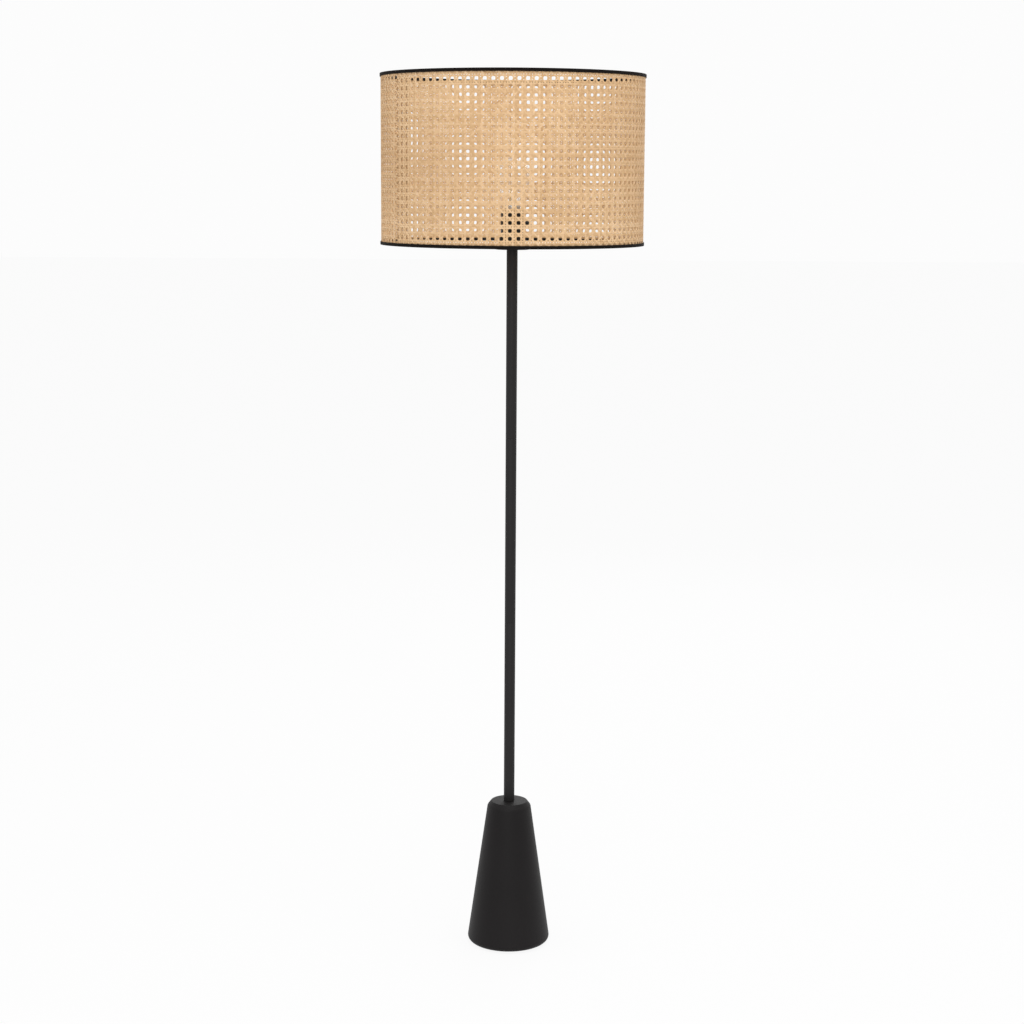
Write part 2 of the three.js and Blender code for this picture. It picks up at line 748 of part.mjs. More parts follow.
// Edge trim: an outer skirt over the cane and a web under the cane's edge and the hoop
function trimGeometry() {
  return turnedRing([
    [trimInnerRadius, 0],
    [shadeRadius, 0],
    [shadeRadius, trimHeight],
    [shadeRadius - trimWall, trimHeight],
    [shadeRadius - trimWall, trimWall],
    [trimInnerRadius, trimWall],
  ], shadeFlats);
}

// Round wire from the top of the carrier ring out to the lower hoop, in the shade's own heights
function carrierArmGeometry() {
  const ringTop = carrierRingThickness - carrierRise;
  const start = ringNutFlangeRadius + seatGap * 2;
  const end = trimInnerRadius - seatGap;
  const low = ringTop + seatGap + carrierArmRadius;
  const bend = (end - start) * carrierArmBendShare;
  const path = new THREE.CubicBezierCurve3(
    new THREE.Vector3(start, 0, low),
    new THREE.Vector3(start + bend, 0, low),
    new THREE.Vector3(end - bend, 0, hoopLevel),
    new THREE.Vector3(end, 0, hoopLevel),
  );
  const section = new THREE.Shape(onCircle(wireFlats, carrierArmRadius, 0).map(([x, y]) => new THREE.Vector2(x, y)));
  return welded(new THREE.ExtrudeGeometry(section, { extrudePath: path, steps: carrierArmSteps }));
}

function buildShade() {
  const shade = new THREE.Group();
  shade.position.z = shadeLevel;
  addPiece(shade, 'cane_panel', canePanelGeometry(), rattan, caneEdge);
  addPiece(shade, 'lower_trim', trimGeometry(), blackTape);
  const upperTrim = addPiece(shade, 'upper_trim', trimGeometry(), blackTape, shadeHeight);
  upperTrim.rotation.x = Math.PI;
  const hoop = welded(new THREE.TorusGeometry(hoopRadius, hoopWireRadius, wireFlats, shadeFlats));
  addPiece(shade, 'lower_hoop', hoop, blackMetal, hoopLevel);
  addPiece(shade, 'upper_hoop', hoop, blackMetal, shadeHeight - hoopLevel);
  const ringBore = shellRadius + carrierRingPlay;
  const ring = sleeve(ringBore, carrierRingRadius, carrierRingThickness, holderFlats);
  addPiece(shade, 'spider_ring', ring, blackMetal, -carrierRise);
  for (let i = 0; i < carrierArmCount; i += 1) {
    const arm = addPiece(shade, `spider_arm_${i + 1}`, carrierArmGeometry(), blackMetal);
    arm.rotation.z = quarterTurn + (i * fullTurn) / carrierArmCount;
  }
  return shade;
}

const lamp = new THREE.Group();
lamp.add(buildBase(), buildPole(), buildHolder(), buildShade());

export default lamp;
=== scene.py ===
"""Looks of the rattan floor lamp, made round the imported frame. Metres, +Z up, origin on the floor at the lamp's axis.

The camera looks along +Y, so the front of the shade is its -Y side."""

import json
import math

import bmesh
import bpy
import numpy as np
from mathutils import Matrix, Vector


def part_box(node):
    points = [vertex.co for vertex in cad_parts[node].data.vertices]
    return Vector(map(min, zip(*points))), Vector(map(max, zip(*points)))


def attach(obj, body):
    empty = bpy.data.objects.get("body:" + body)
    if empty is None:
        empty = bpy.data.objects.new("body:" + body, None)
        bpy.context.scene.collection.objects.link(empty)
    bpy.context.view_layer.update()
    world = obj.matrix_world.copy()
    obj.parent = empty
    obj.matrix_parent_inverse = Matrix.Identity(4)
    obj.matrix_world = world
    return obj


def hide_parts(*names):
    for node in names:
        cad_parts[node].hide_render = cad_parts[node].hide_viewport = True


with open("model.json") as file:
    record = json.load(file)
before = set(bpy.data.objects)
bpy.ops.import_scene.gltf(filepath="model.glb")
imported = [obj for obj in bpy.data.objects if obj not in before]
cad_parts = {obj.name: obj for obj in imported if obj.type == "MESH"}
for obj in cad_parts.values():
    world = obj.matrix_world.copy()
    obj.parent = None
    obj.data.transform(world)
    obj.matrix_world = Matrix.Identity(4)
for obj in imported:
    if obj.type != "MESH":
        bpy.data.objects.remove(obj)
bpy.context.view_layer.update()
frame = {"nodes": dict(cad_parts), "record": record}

TAU = 2 * math.pi
QUARTER = math.pi / 2
MM = 0.001
SEED = 7

# Camera, solved from the outlines of the shade's rims and of the base in the photograph. Its angles are in degrees
PHOTO_PIXELS = 1024
SENSOR_WIDTH = 36.0
FOCAL_PIXELS = 2050
CAMERA_DISTANCE = 3.556
CAMERA_HEIGHT = 1.375
CAMERA_SIDE = 0.0023
CAMERA_PITCH = 9.366
CAMERA_ROLL = 0.33

# Studio: the world's light, how white the walls and the floor look, and each lamp's name, place, aim, size and power
WORLD_LIGHT = 0.87
WALL_WHITE = 0.975
FLOOR_WHITE = 0.92
FLOOR_GLOW = 0.985
FLOOR_PAINT = (0.8, 0.8, 0.8, 1)
WHITE = (1, 1, 1, 1)
FLOOR_REACH = 30.0
LAMPS = [
    ("front_softbox", (-0.35, -3.5, 1.8), (0, 0, 1.2), 2.0, 28.0),
    ("top_softbox", (0.3, -0.4, 3.4), (0, 0, 1.2), 1.6, 38.0),
    ("back_softbox", (0.9, 3.2, 2.2), (0, 0, 1.0), 2.0, 22.0),
]

# Heights and radii read from the frame
POLE_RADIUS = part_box("pole_lower")[1].x
DISC_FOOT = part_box("seat_disc")[0].z
DISC_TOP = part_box("seat_disc")[1].z
DISC_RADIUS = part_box("seat_disc")[1].x
CAP_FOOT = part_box("holder_cap")[0].z
SHELL_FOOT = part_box("holder_shell")[0].z
SHELL_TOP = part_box("holder_shell")[1].z
SHELL_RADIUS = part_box("holder_shell")[1].x
NUT_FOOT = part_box("shade_ring")[0].z
NUT_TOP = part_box("shade_ring")[1].z
NUT_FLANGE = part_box("shade_ring")[1].x
BULB_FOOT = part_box("bulb_tip")[0].z
BULB_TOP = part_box("bulb_glass")[1].z
BULB_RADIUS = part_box("bulb_glass")[1].x
BULB_CAP_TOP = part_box("bulb_cap")[1].z
BULB_CAP_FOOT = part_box("bulb_cap")[0].z
BULB_CAP_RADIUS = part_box("bulb_cap")[1].x
SHADE_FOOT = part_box("lower_trim")[0].z
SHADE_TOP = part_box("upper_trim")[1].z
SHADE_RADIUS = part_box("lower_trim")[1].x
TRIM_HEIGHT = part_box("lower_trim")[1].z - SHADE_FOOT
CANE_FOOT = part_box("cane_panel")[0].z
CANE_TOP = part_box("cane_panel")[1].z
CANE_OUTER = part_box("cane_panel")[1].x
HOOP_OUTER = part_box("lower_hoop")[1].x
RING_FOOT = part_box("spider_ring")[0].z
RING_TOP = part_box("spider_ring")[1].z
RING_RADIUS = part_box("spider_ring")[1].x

# Base cone, as the CAD has it
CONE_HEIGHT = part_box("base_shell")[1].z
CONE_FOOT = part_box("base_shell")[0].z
CONE_FOOT_RADIUS = 75 * MM
CONE_CROWN_RADIUS = 37.5 * MM
CONE_FOOT_ROUNDING = 9 * MM
CONE_BEVEL_WIDTH = 6.3 * MM
CONE_BEVEL_TILT = math.radians(38)
CONE_EDGE_ROUNDING = 2 * MM
CONE_SHOULDER_ROUNDING = 8 * MM
CONE_WALL = 1.5 * MM
CONE_LIP = 2 * MM
CONE_HOLE = 5.3 * MM
CONE_SLOPE = (CONE_FOOT_RADIUS - CONE_CROWN_RADIUS) / CONE_HEIGHT
CONE_TILT = math.atan(CONE_SLOPE)
OUTLET_LEVEL = 20 * MM
OUTLET_BORE = 3.4 * MM
OUTLET_NECK = 5.2 * MM
OUTLET_FLANGE = 7.4 * MM
OUTLET_LIP = 2 * MM
OUTLET_SLACK = 0.7 * MM
OUTLET_ROUNDING = 0.7 * MM

# Fits and walls repeated from the CAD
GAP = 0.3 * MM
POLE_WALL = 1.2 * MM
HOLDER_WALL = 2 * MM
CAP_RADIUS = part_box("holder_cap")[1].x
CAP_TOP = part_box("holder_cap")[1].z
CAP_FLOOR = 2.5 * MM
CAP_STEP_HEIGHT = 10 * MM
THREAD_HOLE = 5.3 * MM
SPINDLE_LEVEL = 38 * MM
SPINDLE_HOLE = 2.6 * MM
KNOB_RADIUS = 6.5 * MM
KNOB_BORE_DEPTH = 7 * MM
TRIM_WALL = 1 * MM
HOOP_WIRE = 2 * MM
HOOP_INNER = HOOP_OUTER - 2 * HOOP_WIRE
ARM_WIRE = 1.5 * MM
ARM_COUNT = 3
ARM_BEND_SHARE = 0.25
RING_BORE = SHELL_RADIUS + 1.8 * MM
NUT_WALL = 2 * MM
NUT_FLANGE_THICKNESS = 2.5 * MM

# Bulb: its glass, its cap's foot, thread and lip, and its stem with the collar and the button that hold the filaments
GLASS_WALL = 0.9 * MM
GLASS_NECK_INSET = 0.8 * MM
GLASS_NECK_DEPTH = 1.2 * MM
GLASS_NECK_PULL = 0.37
GLASS_BELLY_PULL = 0.53
BULB_CAP_TIP_RADIUS = 4.5 * MM
BULB_CAP_CONE_INSET = 1.2 * MM
BULB_CAP_CONE_HEIGHT = 4 * MM
BULB_CAP_LIP = 0.6 * MM
BULB_CAP_LIP_INSET = 0.5 * MM
BULB_CAP_DISH = 1.6 * MM
BULB_THREAD_PITCH = 3.62 * MM
BULB_THREAD_DEPTH = 1 * MM
BULB_PLAIN_RIM = 5 * MM
BULB_THREAD_FADE = 2 * MM
STEM_RADIUS = 2.2 * MM
STEM_FLARE_DEPTH = 0.9 * MM
STEM_FLARE_INSET = 0.4 * MM
STEM_FLARE_RIM = 0.8 * MM
STEM_FLARE_HEIGHT = 2.2 * MM
STEM_ROUNDING = 0.5 * MM
COLLAR_LEVEL = 27 * MM
COLLAR_THICKNESS = 1.5 * MM
COLLAR_RADIUS = 7 * MM
BUTTON_THICKNESS = 1.8 * MM
BUTTON_RADIUS = 4.4 * MM
FILAMENT_COUNT = 4
FILAMENT_WIRE = 0.8 * MM
FILAMENT_FOOT_RADIUS = 6.2 * MM
FILAMENT_TIP_RADIUS = 3.6 * MM

# Roundings, threads, grips and waves. A reach says how far in from the outer edge a thread or a wave takes hold
POLE_CHAMFER = 0.25 * MM
DISC_ROUNDING = 0.9 * MM
HOLDER_ROUNDING = 0.6 * MM
RING_ROUNDING = 0.5 * MM
TRIM_ROUNDING = 0.45 * MM
KNOB_ROUNDING = 0.8 * MM
SLEEVE_CHAMFER = 0.5 * MM
SLEEVE_RIM = 2.5 * MM
SLEEVE_PITCH = 3 * MM
SLEEVE_THREAD_DEPTH = 0.8 * MM
SWITCH_CLEARANCE = 4 * MM
THREAD_REACH = 0.1 * MM
SCALLOPS = 14
SCALLOP_DEPTH = 0.7 * MM
SCALLOP_REACH = 0.8 * MM
KNOB_TAPER = 0.6 * MM
KNOB_TAPER_LENGTH = 2 * MM
KNOB_DISH_SHARES = (0.45, 0.4)
KNOB_DISH_DEPTH = 0.5 * MM
FLUTES = 12
FLUTE_DEPTH = 0.45 * MM
FLUTED_SHARE = 0.8
TAPE_WAVES = (9, 23, 41)
TAPE_WAVE_DEPTH = 0.09 * MM
TAPE_WAVE_REACH = 0.6 * MM

# Fineness of the meshes: steps round the turned pieces, steps along their curves, and sides of the wires
CONE_STEPS = 160
HOLE_STEPS = 32
SMALL_STEPS = 48
POLE_STEPS = 64
HEAD_STEPS = 96
THREAD_STEPS = 72
NUT_STEPS = 168
KNOB_STEPS = 144
HOOP_STEPS = 240
TRIM_STEPS = 480
FOOT_ARC_STEPS = 14
CROWN_ARC_STEPS = 6
WIRE_ARC_STEPS = 15
DOME_STEPS = 16
NECK_STEPS = 24
ARM_STEPS = 40
SLEEVE_ROWS = 220
BULB_CAP_ROWS = 60
FILAMENT_ROWS = 30
FILAMENT_SIDES = 12
ARM_SIDES = 16
CORNER_STEPS = 3

# Corners take up this share of a short side at most, edges sharper than the crease angle stay crisp, and points
# nearer than the merge distance are joined
CORNER_SHARE = 0.45
CREASE_ANGLE = math.radians(35)
MERGE_DISTANCE = 1e-7

# Cane webbing: octagonal mesh of upright and level pairs with slanting strands both ways. One sheet goes round the
# drum from the seam back to the seam, laid a trace askew, and a strip inside backs the seam
CANE_MIDDLE = CANE_OUTER - 1 * MM
CELLS_ROUND = 101.48
CELL_ANGLE = TAU / CELLS_ROUND
CELL_WIDTH = CELL_ANGLE * CANE_MIDDLE
CELL_HEIGHT = 12.7 * MM
FIRST_HOLE_ROW = 16.8 * MM
HOLE_COLUMN_SHARE = 0.265
ROWS_A_CELL = 0.0722 * CELL_ANGLE
UPRIGHT_SPACING = 4.5 * MM
LEVEL_SPACING = 3.8 * MM
UPRIGHT_WIDTH = 3.1 * MM
LEVEL_WIDTH = 2.7 * MM
SLANT_WIDTH = 2.5 * MM
STRAND_THICKNESS = 0.5 * MM
WEAVE_DEPTH = 0.6 * MM
SLANT_DEPTH = 0.52 * MM
STEPS_PER_CELL = 6
SHORTEST_STRAND = 0.7
SEAM_ANGLE = math.radians(-58)
BACKING_START = math.radians(-60.7)
BACKING_END = math.radians(-49.5)
BACKING_INSET = 1.9 * MM
BACKING_SLIP = 0.4
BACKING_SHY = 9 * MM
EDGE_STRIP_WIDTH = 4 * MM
EDGE_STRIP_LEVEL = 6.8 * MM
EDGE_STRIP_INSET = 1.15 * MM
STRAND_FLAT_SHARE = 0.9
STRAND_EDGE_SHARE = 0.1

# Strand maps: metres from one strand's fibres to the next one's, and the margins of each strand's strip in OFBake
FIBRE_SHIFT = 0.371
STRIP_SIDE_MARGIN = 0.06
STRIP_END_MARGIN = 0.01

# Finishes: a span says where a ramp starts and ends on its noise, a share how much a layer counts
UNTINTED = (1.0, 1.0, 1.0)
WEAR_SCALE = 6.0
WEAR_SPAN = (0.32, 0.68)
GRAIN_SPAN = (0.3, 0.72)
GRAIN_SHARE = 0.35
ROUGH_SPAN = (0.3, 0.7)

# Cane, from its tanned strands to its palest ones
CANE_TONES = [(0.0, (0.66, 0.431, 0.231)), (0.5, (0.738, 0.504, 0.29)), (1.0, (0.818, 0.581, 0.355))]
CANE_FIBRE_TINT = (0.80, 0.76, 0.70)
CANE_FIBRE_STRETCH = (9.0, 60.0, 1.0)
CANE_FIBRE_SCALE = 2.0
CANE_FIBRE_SPAN = (0.3, 0.6)
CANE_FIBRE_SHARE = 0.75
CANE_PATCH_TINT = (0.90, 0.87, 0.84)
CANE_PATCH_SCALE = 9.0
CANE_PATCH_SPAN = (0.35, 0.65)
CANE_PATCH_SHARE = 0.8
CANE_MARK_TINT = (0.72, 0.60, 0.48)
CANE_MARK_STRETCH = (0.4, 14.0, 1.0)
CANE_MARK_SPAN = (0.68, 0.76)
CANE_MARK_SHARE = 0.6
CANE_ROUGH = (0.42, 0.6)
CANE_SPECULAR = 0.04
CANE_DEPTH = 0.08 * MM
CANE_BUMP = 0.6

# Tape, felt and glass
TAPE_DARK = (0.0034, 0.0024, 0.0020)
TAPE_LIGHT = (0.0104, 0.0078, 0.0066)
TAPE_THREAD_SCALE = 420.0
TAPE_DISTORTION = 0.6
TAPE_FUZZ_SCALE = 1500.0
TAPE_ROUGH = (0.65, 0.9)
TAPE_SPECULAR = 0.08
TAPE_DEPTH = 0.12 * MM
FELT_DARK = (0.022, 0.021, 0.02)
FELT_LIGHT = (0.075, 0.072, 0.07)
FELT_FIBRE_SCALE = 1800.0
FELT_FIBRE_STRETCH = 0.2
FELT_SPAN = (0.35, 0.65)
FELT_ROUGHNESS = 0.95
FELT_SHEEN = 0.3
FELT_DEPTH = 0.3 * MM
GLASS_TINT = (0.985, 0.99, 0.99, 1)
GLASS_INDEX = 1.35
GLASS_SPECULAR = 0.35
GLASS_RIPPLE_SCALE = 35.0
GLASS_RIPPLE_DEPTH = 0.05 * MM
GLASS_RIPPLE_BUMP = 0.3


def emptied(holder, kind):
    """The node tree of a material or a world, with nothing in it but an output of that kind."""
    holder.use_nodes = True
    tree = holder.node_tree
    tree.nodes.clear()
    return tree, tree.nodes.new(kind)


def new_material(name):
    """Empty material with a Principled shader wired to its output."""
    material = bpy.data.materials.new(name)
    tree, output = emptied(material, "ShaderNodeOutputMaterial")
    shader = tree.nodes.new("ShaderNodeBsdfPrincipled")
    tree.links.new(shader.outputs["BSDF"], output.inputs["Surface"])
    return material, tree, shader


def stretched(tree, place, stretch):
    """Coordinates stretched along each axis."""
    mapping = tree.nodes.new("ShaderNodeMapping")
    mapping.inputs["Scale"].default_value = stretch
    tree.links.new(place, mapping.inputs["Vector"])
    return mapping.outputs["Vector"]


def object_place(tree, stretch=(1, 1, 1)):
    """Object coordinates, stretched along each axis."""
    return stretched(tree, tree.nodes.new("ShaderNodeTexCoord").outputs["Object"], stretch)


def noise(tree, place, scale, detail=3.0, roughness=0.5):
    """Noise from 0 to 1, with a number of octaves and how much each finer one counts."""
    node = tree.nodes.new("ShaderNodeTexNoise")
    node.inputs["Scale"].default_value = scale
    node.inputs["Detail"].default_value = detail
    node.inputs["Roughness"].default_value = roughness
    tree.links.new(place, node.inputs["Vector"])
    return node.outputs["Fac"]


def ramp(tree, value, stops):
    """Colour ramp from (position, colour) stops."""
    node = tree.nodes.new("ShaderNodeValToRGB")
    elements = node.color_ramp.elements
    while len(elements) < len(stops):
        elements.new(0.5)
    for element, (position, colour) in zip(elements, stops):
        element.position = position
        element.color = (*colour, 1)
    tree.links.new(value, node.inputs["Fac"])
    return node.outputs["Color"]


def fade(tree, value, span, dark, light):
    """Colour that goes from dark to light over a span of the value."""
    return ramp(tree, value, list(zip(span, (dark, light))))


def spread(tree, value, reach, span=(0.0, 1.0)):
    """A value carried from a span to the range that it should reach over."""
    node = tree.nodes.new("ShaderNodeMapRange")
    for name, number in zip(("From Min", "From Max", "To Min", "To Max"), (*span, *reach)):
        node.inputs[name].default_value = number
    tree.links.new(value, node.inputs["Value"])
    return node.outputs["Result"]


def blended(tree, kind, share, first, second):
    """The first colour with a share of the second one mixed or multiplied in."""
    node = tree.nodes.new("ShaderNodeMix")
    node.data_type = "RGBA"
    node.blend_type = kind
    node.inputs["Factor"].default_value = share
    tree.links.new(first, node.inputs["A"])
    tree.links.new(second, node.inputs["B"])
    return node.outputs["Result"]


def bump(tree, shader, height, depth, strength=1.0):
    """Lets a height of some depth in metres stand out on the surface."""
    node = tree.nodes.new("ShaderNodeBump")
    node.inputs["Strength"].default_value = strength
    node.inputs["Distance"].default_value = depth
    tree.links.new(height, node.inputs["Height"])
    tree.links.new(node.outputs["Normal"], shader.inputs["Normal"])


def coat(tree, shader, colour, rough, specular, height, depth, strength=1.0):
    """Gives a shader its colour, its roughness, its shine and the height that stands out on it."""
    tree.links.new(colour, shader.inputs["Base Color"])
    tree.links.new(rough, shader.inputs["Roughness"])
    shader.inputs["Specular IOR Level"].default_value = specular
    bump(tree, shader, height, depth, strength)


def grained(name, dark, light, rough, grain, depth, stretch=(1, 1, 1), metallic=0.0, specular=0.5):
    """A finish whose colour drifts slowly and whose fine grain moves its roughness and its surface."""
    material, tree, shader = new_material(name)
    fine = noise(tree, object_place(tree, stretch), grain, detail=4.0, roughness=0.6)
    slow = noise(tree, object_place(tree), WEAR_SCALE, roughness=0.55)
    drift = fade(tree, slow, WEAR_SPAN, dark, light)
    speck = fade(tree, fine, GRAIN_SPAN, dark, light)
    colour = blended(tree, "MIX", GRAIN_SHARE, drift, speck)
    coat(tree, shader, colour, spread(tree, fine, rough, ROUGH_SPAN), specular, fine, depth)
    shader.inputs["Metallic"].default_value = metallic
    return material


def cane_finish():
    """Split cane bark: a tone for each strand, fibres along it, slow patches and darker growth marks."""
    material, tree, shader = new_material("cane_bark")
    strand = tree.nodes.new("ShaderNodeUVMap")
    strand.uv_map = "Strand"
    place = strand.outputs["UV"]
    fibres = noise(tree, stretched(tree, place, CANE_FIBRE_STRETCH), CANE_FIBRE_SCALE, roughness=0.6)
    marks = noise(tree, stretched(tree, place, CANE_MARK_STRETCH), 1.0, detail=1.0, roughness=0.4)
    patches = noise(tree, object_place(tree), CANE_PATCH_SCALE, detail=2.0)
    tone = tree.nodes.new("ShaderNodeAttribute")
    tone.attribute_name = "tone"
    colour = ramp(tree, tone.outputs["Fac"], CANE_TONES)
    for share, value, span, dark, light in (
        (CANE_FIBRE_SHARE, fibres, CANE_FIBRE_SPAN, CANE_FIBRE_TINT, UNTINTED),
        (CANE_PATCH_SHARE, patches, CANE_PATCH_SPAN, CANE_PATCH_TINT, UNTINTED),
        (CANE_MARK_SHARE, marks, CANE_MARK_SPAN, UNTINTED, CANE_MARK_TINT),
    ):
        colour = blended(tree, "MULTIPLY", share, colour, fade(tree, value, span, dark, light))
    coat(tree, shader, colour, spread(tree, fibres, CANE_ROUGH), CANE_SPECULAR, fibres, CANE_DEPTH, CANE_BUMP)
    return material


def tape_finish():
    """Black binding tape: a fine plain weave from two crossed waves round and up the ring."""
    material, tree, shader = new_material("black_tape")
    place = object_place(tree)
    waves = []
    for direction in ("Z", "DIAGONAL"):
        wave = tree.nodes.new("ShaderNodeTexWave")
        wave.wave_type = "BANDS"
        wave.bands_direction = direction
        wave.inputs["Scale"].default_value = TAPE_THREAD_SCALE
        wave.inputs["Distortion"].default_value = TAPE_DISTORTION
        tree.links.new(place, wave.inputs["Vector"])
        waves.append(wave.outputs["Fac"])
    cloth = blended(tree, "MULTIPLY", 1.0, *waves)
    fuzz = noise(tree, place, TAPE_FUZZ_SCALE, detail=2.0)
    colour = fade(tree, fuzz, ROUGH_SPAN, TAPE_DARK, TAPE_LIGHT)
    coat(tree, shader, colour, spread(tree, fuzz, TAPE_ROUGH), TAPE_SPECULAR, cloth, TAPE_DEPTH)
    return material


def felt_finish():
    """Pressed felt: short fibres crossing in two stretched noises."""
    material, tree, shader = new_material("grey_felt")
    first, second = (noise(tree, object_place(tree, stretch), FELT_FIBRE_SCALE, detail=4.0, roughness=0.7)
                     for stretch in ((1, FELT_FIBRE_STRETCH, 1), (FELT_FIBRE_STRETCH, 1, 1)))
    fibres = blended(tree, "MIX", 0.5, first, second)
    tree.links.new(fade(tree, fibres, FELT_SPAN, FELT_DARK, FELT_LIGHT), shader.inputs["Base Color"])
    shader.inputs["Roughness"].default_value = FELT_ROUGHNESS
    shader.inputs["Sheen Weight"].default_value = FELT_SHEEN
    bump(tree, shader, fibres, FELT_DEPTH)
    return material


def glass_finish():
    """Clear glass with a trace of unevenness on its surface."""
    material, tree, shader = new_material("clear_glass")
    shader.inputs["Base Color"].default_value = GLASS_TINT
    shader.inputs["Roughness"].default_value = 0.0
    shader.inputs["IOR"].default_value = GLASS_INDEX
    shader.inputs["Specular IOR Level"].default_value = GLASS_SPECULAR
    shader.inputs["Transmission Weight"].default_value = 1.0
    ripple = noise(tree, object_place(tree), GLASS_RIPPLE_SCALE, detail=1.0)
    bump(tree, shader, ripple, GLASS_RIPPLE_DEPTH, GLASS_RIPPLE_BUMP)
    return material


# Lighter copy of the black powder coat for the pole tubes: its lift in colour is painted sheen, standing in for the
# brighter reflections along the thin pole
pole_painted_sheen_coat = grained("pole_coat_painted_sheen", dark=(0.0098, 0.0088, 0.0088), light=(0.0144, 0.0128, 0.013),
                    rough=(0.5, 0.66), grain=1500.0, depth=0.06 * MM, specular=0.25)
finishes = {
    "black_metal": grained("powder_coat", dark=(0.0070, 0.0060, 0.0062), light=(0.0110, 0.0094, 0.0097),
                           rough=(0.46, 0.6), grain=1500.0, depth=0.06 * MM, specular=0.155),
    "cast_iron": grained("rough_casting", dark=(0.05, 0.048, 0.045), light=(0.10, 0.096, 0.09),
                         rough=(0.7, 0.95), grain=260.0, depth=0.5 * MM, metallic=0.6),
    "zinc_steel": grained("zinc_plating", dark=(0.42, 0.42, 0.41), light=(0.62, 0.62, 0.60),
                          rough=(0.25, 0.42), grain=500.0, depth=0.03 * MM, stretch=(1, 1, 0.15), metallic=1.0),
    "brass": grained("plain_brass", dark=(0.55, 0.36, 0.12), light=(0.72, 0.50, 0.19),
                     rough=(0.22, 0.4), grain=600.0, depth=0.02 * MM, stretch=(0.3, 1, 1), metallic=1.0),
    "black_plastic": grained("moulded_phenolic", dark=(0.0045, 0.0042, 0.004), light=(0.009, 0.0085, 0.008),
                             rough=(0.36, 0.54), grain=900.0, depth=0.04 * MM, specular=0.2),
    "ceramic": grained("glazed_ceramic", dark=(0.70, 0.67, 0.58), light=(0.82, 0.80, 0.72),
                       rough=(0.18, 0.32), grain=180.0, depth=0.03 * MM),
    "black_rubber": grained("moulded_rubber", dark=(0.010, 0.010, 0.010), light=(0.020, 0.019, 0.019),
                            rough=(0.7, 0.88), grain=800.0, depth=0.06 * MM, specular=0.3),
    "filament": grained("phosphor_coat", dark=(0.72, 0.42, 0.07), light=(0.85, 0.55, 0.12),
                        rough=(0.45, 0.6), grain=900.0, depth=0.03 * MM),
    "felt": felt_finish(),
    "black_tape": tape_finish(),
    "rattan": cane_finish(),
    "clear_glass": glass_finish(),
}


def dress(piece, slot, body, *nodes):
    """Gives a new piece its finish and its body, and hides the CAD nodes that it stands for."""
    piece.data.materials.clear()
    piece.data.materials.append(finishes[slot])
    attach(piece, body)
    if nodes:
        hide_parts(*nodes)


def added(name, data):
    """A new object of the scene for a mesh, a camera or a lamp."""
    item = bpy.data.objects.new(name, data)
    bpy.context.scene.collection.objects.link(item)
    return item


def object_from(name, points, loops, sizes):
    """Mesh object from points, the corner indices of its faces and each face's corner count."""
    mesh = bpy.data.meshes.new(name)
    mesh.vertices.add(len(points))
    mesh.vertices.foreach_set("co", np.asarray(points, np.float32).ravel())
    mesh.loops.add(len(loops))
    mesh.loops.foreach_set("vertex_index", np.asarray(loops, np.int32))
    sizes = np.asarray(sizes, np.int32)
    starts = np.concatenate([[0], np.cumsum(sizes)[:-1]]).astype(np.int32)
    mesh.polygons.add(len(sizes))
    mesh.polygons.foreach_set("loop_start", starts)
    mesh.update(calc_edges=True)
    mesh.validate()
    return added(name, mesh)


def shaded(piece):
    """Smooth shading with sharp edges kept crisp."""
    piece.data.shade_smooth()
    piece.data.set_sharp_from_angle(angle=CREASE_ANGLE)
    return piece


def tidied(piece):
    """Joins the points that meet on the axis and drops the faces that close up there."""
    work = bmesh.new()
    work.from_mesh(piece.data)
    bmesh.ops.remove_doubles(work, verts=work.verts, dist=MERGE_DISTANCE)
    bmesh.ops.dissolve_degenerate(work, edges=work.edges, dist=MERGE_DISTANCE)
    work.to_mesh(piece.data)
    work.free()
    return piece


def quads_between(below, above):
    """Quads from rows of points to the rows above them, joined up round the last axis."""
    return np.stack([below, np.roll(below, -1, -1), np.roll(above, -1, -1), above], -1)


def from_grid(name, grid, wrap_rows):
    """Surface of quads on a grid of points: columns always join up, rows join up when asked."""
    rows, columns = grid.shape[:2]
    index = np.arange(rows * columns).reshape(rows, columns)
    below = index if wrap_rows else index[:-1]
    above = np.roll(index, -1, 0) if wrap_rows else index[1:]
    quads = quads_between(below, above).reshape(-1, 4)
    return object_from(name, grid.reshape(-1, 3), quads.ravel(), np.full(len(quads), 4))


def softened(profile, radius, closed=True):
    """The profile with each corner replaced by a curve between points one radius along its two sides.

    On a short side the curve starts before its middle, so that two corners never meet."""
    points = np.asarray(profile, float)
    count = len(points)
    result = []
    for i, here in enumerate(points):
        if not closed and i in (0, count - 1):
            result.append(here)
            continue
        back, on = points[i - 1] - here, points[(i + 1) % count] - here
        reach = min(radius, CORNER_SHARE * np.linalg.norm(back), CORNER_SHARE * np.linalg.norm(on))
        start = here + back / np.linalg.norm(back) * reach
        end = here + on / np.linalg.norm(on) * reach
        for s in np.linspace(0, 1, CORNER_STEPS + 1):
            result.append((1 - s) ** 2 * start + 2 * s * (1 - s) * here + s * s * end)
    return np.array(result)


def tube_section(bore, outer, foot, top, rounding):
    """Section of a plain tube, ring or disc with a hole, its corners rounded."""
    return softened([(bore, foot), (outer, foot), (outer, top), (bore, top)], rounding)


def cubic(start, start_pull, end_pull, end, steps):
    """Cubic curve between two points, pulled towards two others."""
    s = np.linspace(0, 1, steps + 1)[:, None]
    a, b, c, d = np.array([start, start_pull, end_pull, end], float)
    return (1 - s) ** 3 * a + 3 * s * (1 - s) ** 2 * b + 3 * s * s * (1 - s) * c + s ** 3 * d


def thread_wave(height, angle, pitch):
    """Depth of a right-handed thread, 0 on its crest and 1 at its root: (1 - cos(2 pi z / p - t)) / 2."""
    return (1 - np.cos(TAU * height / pitch - angle)) / 2


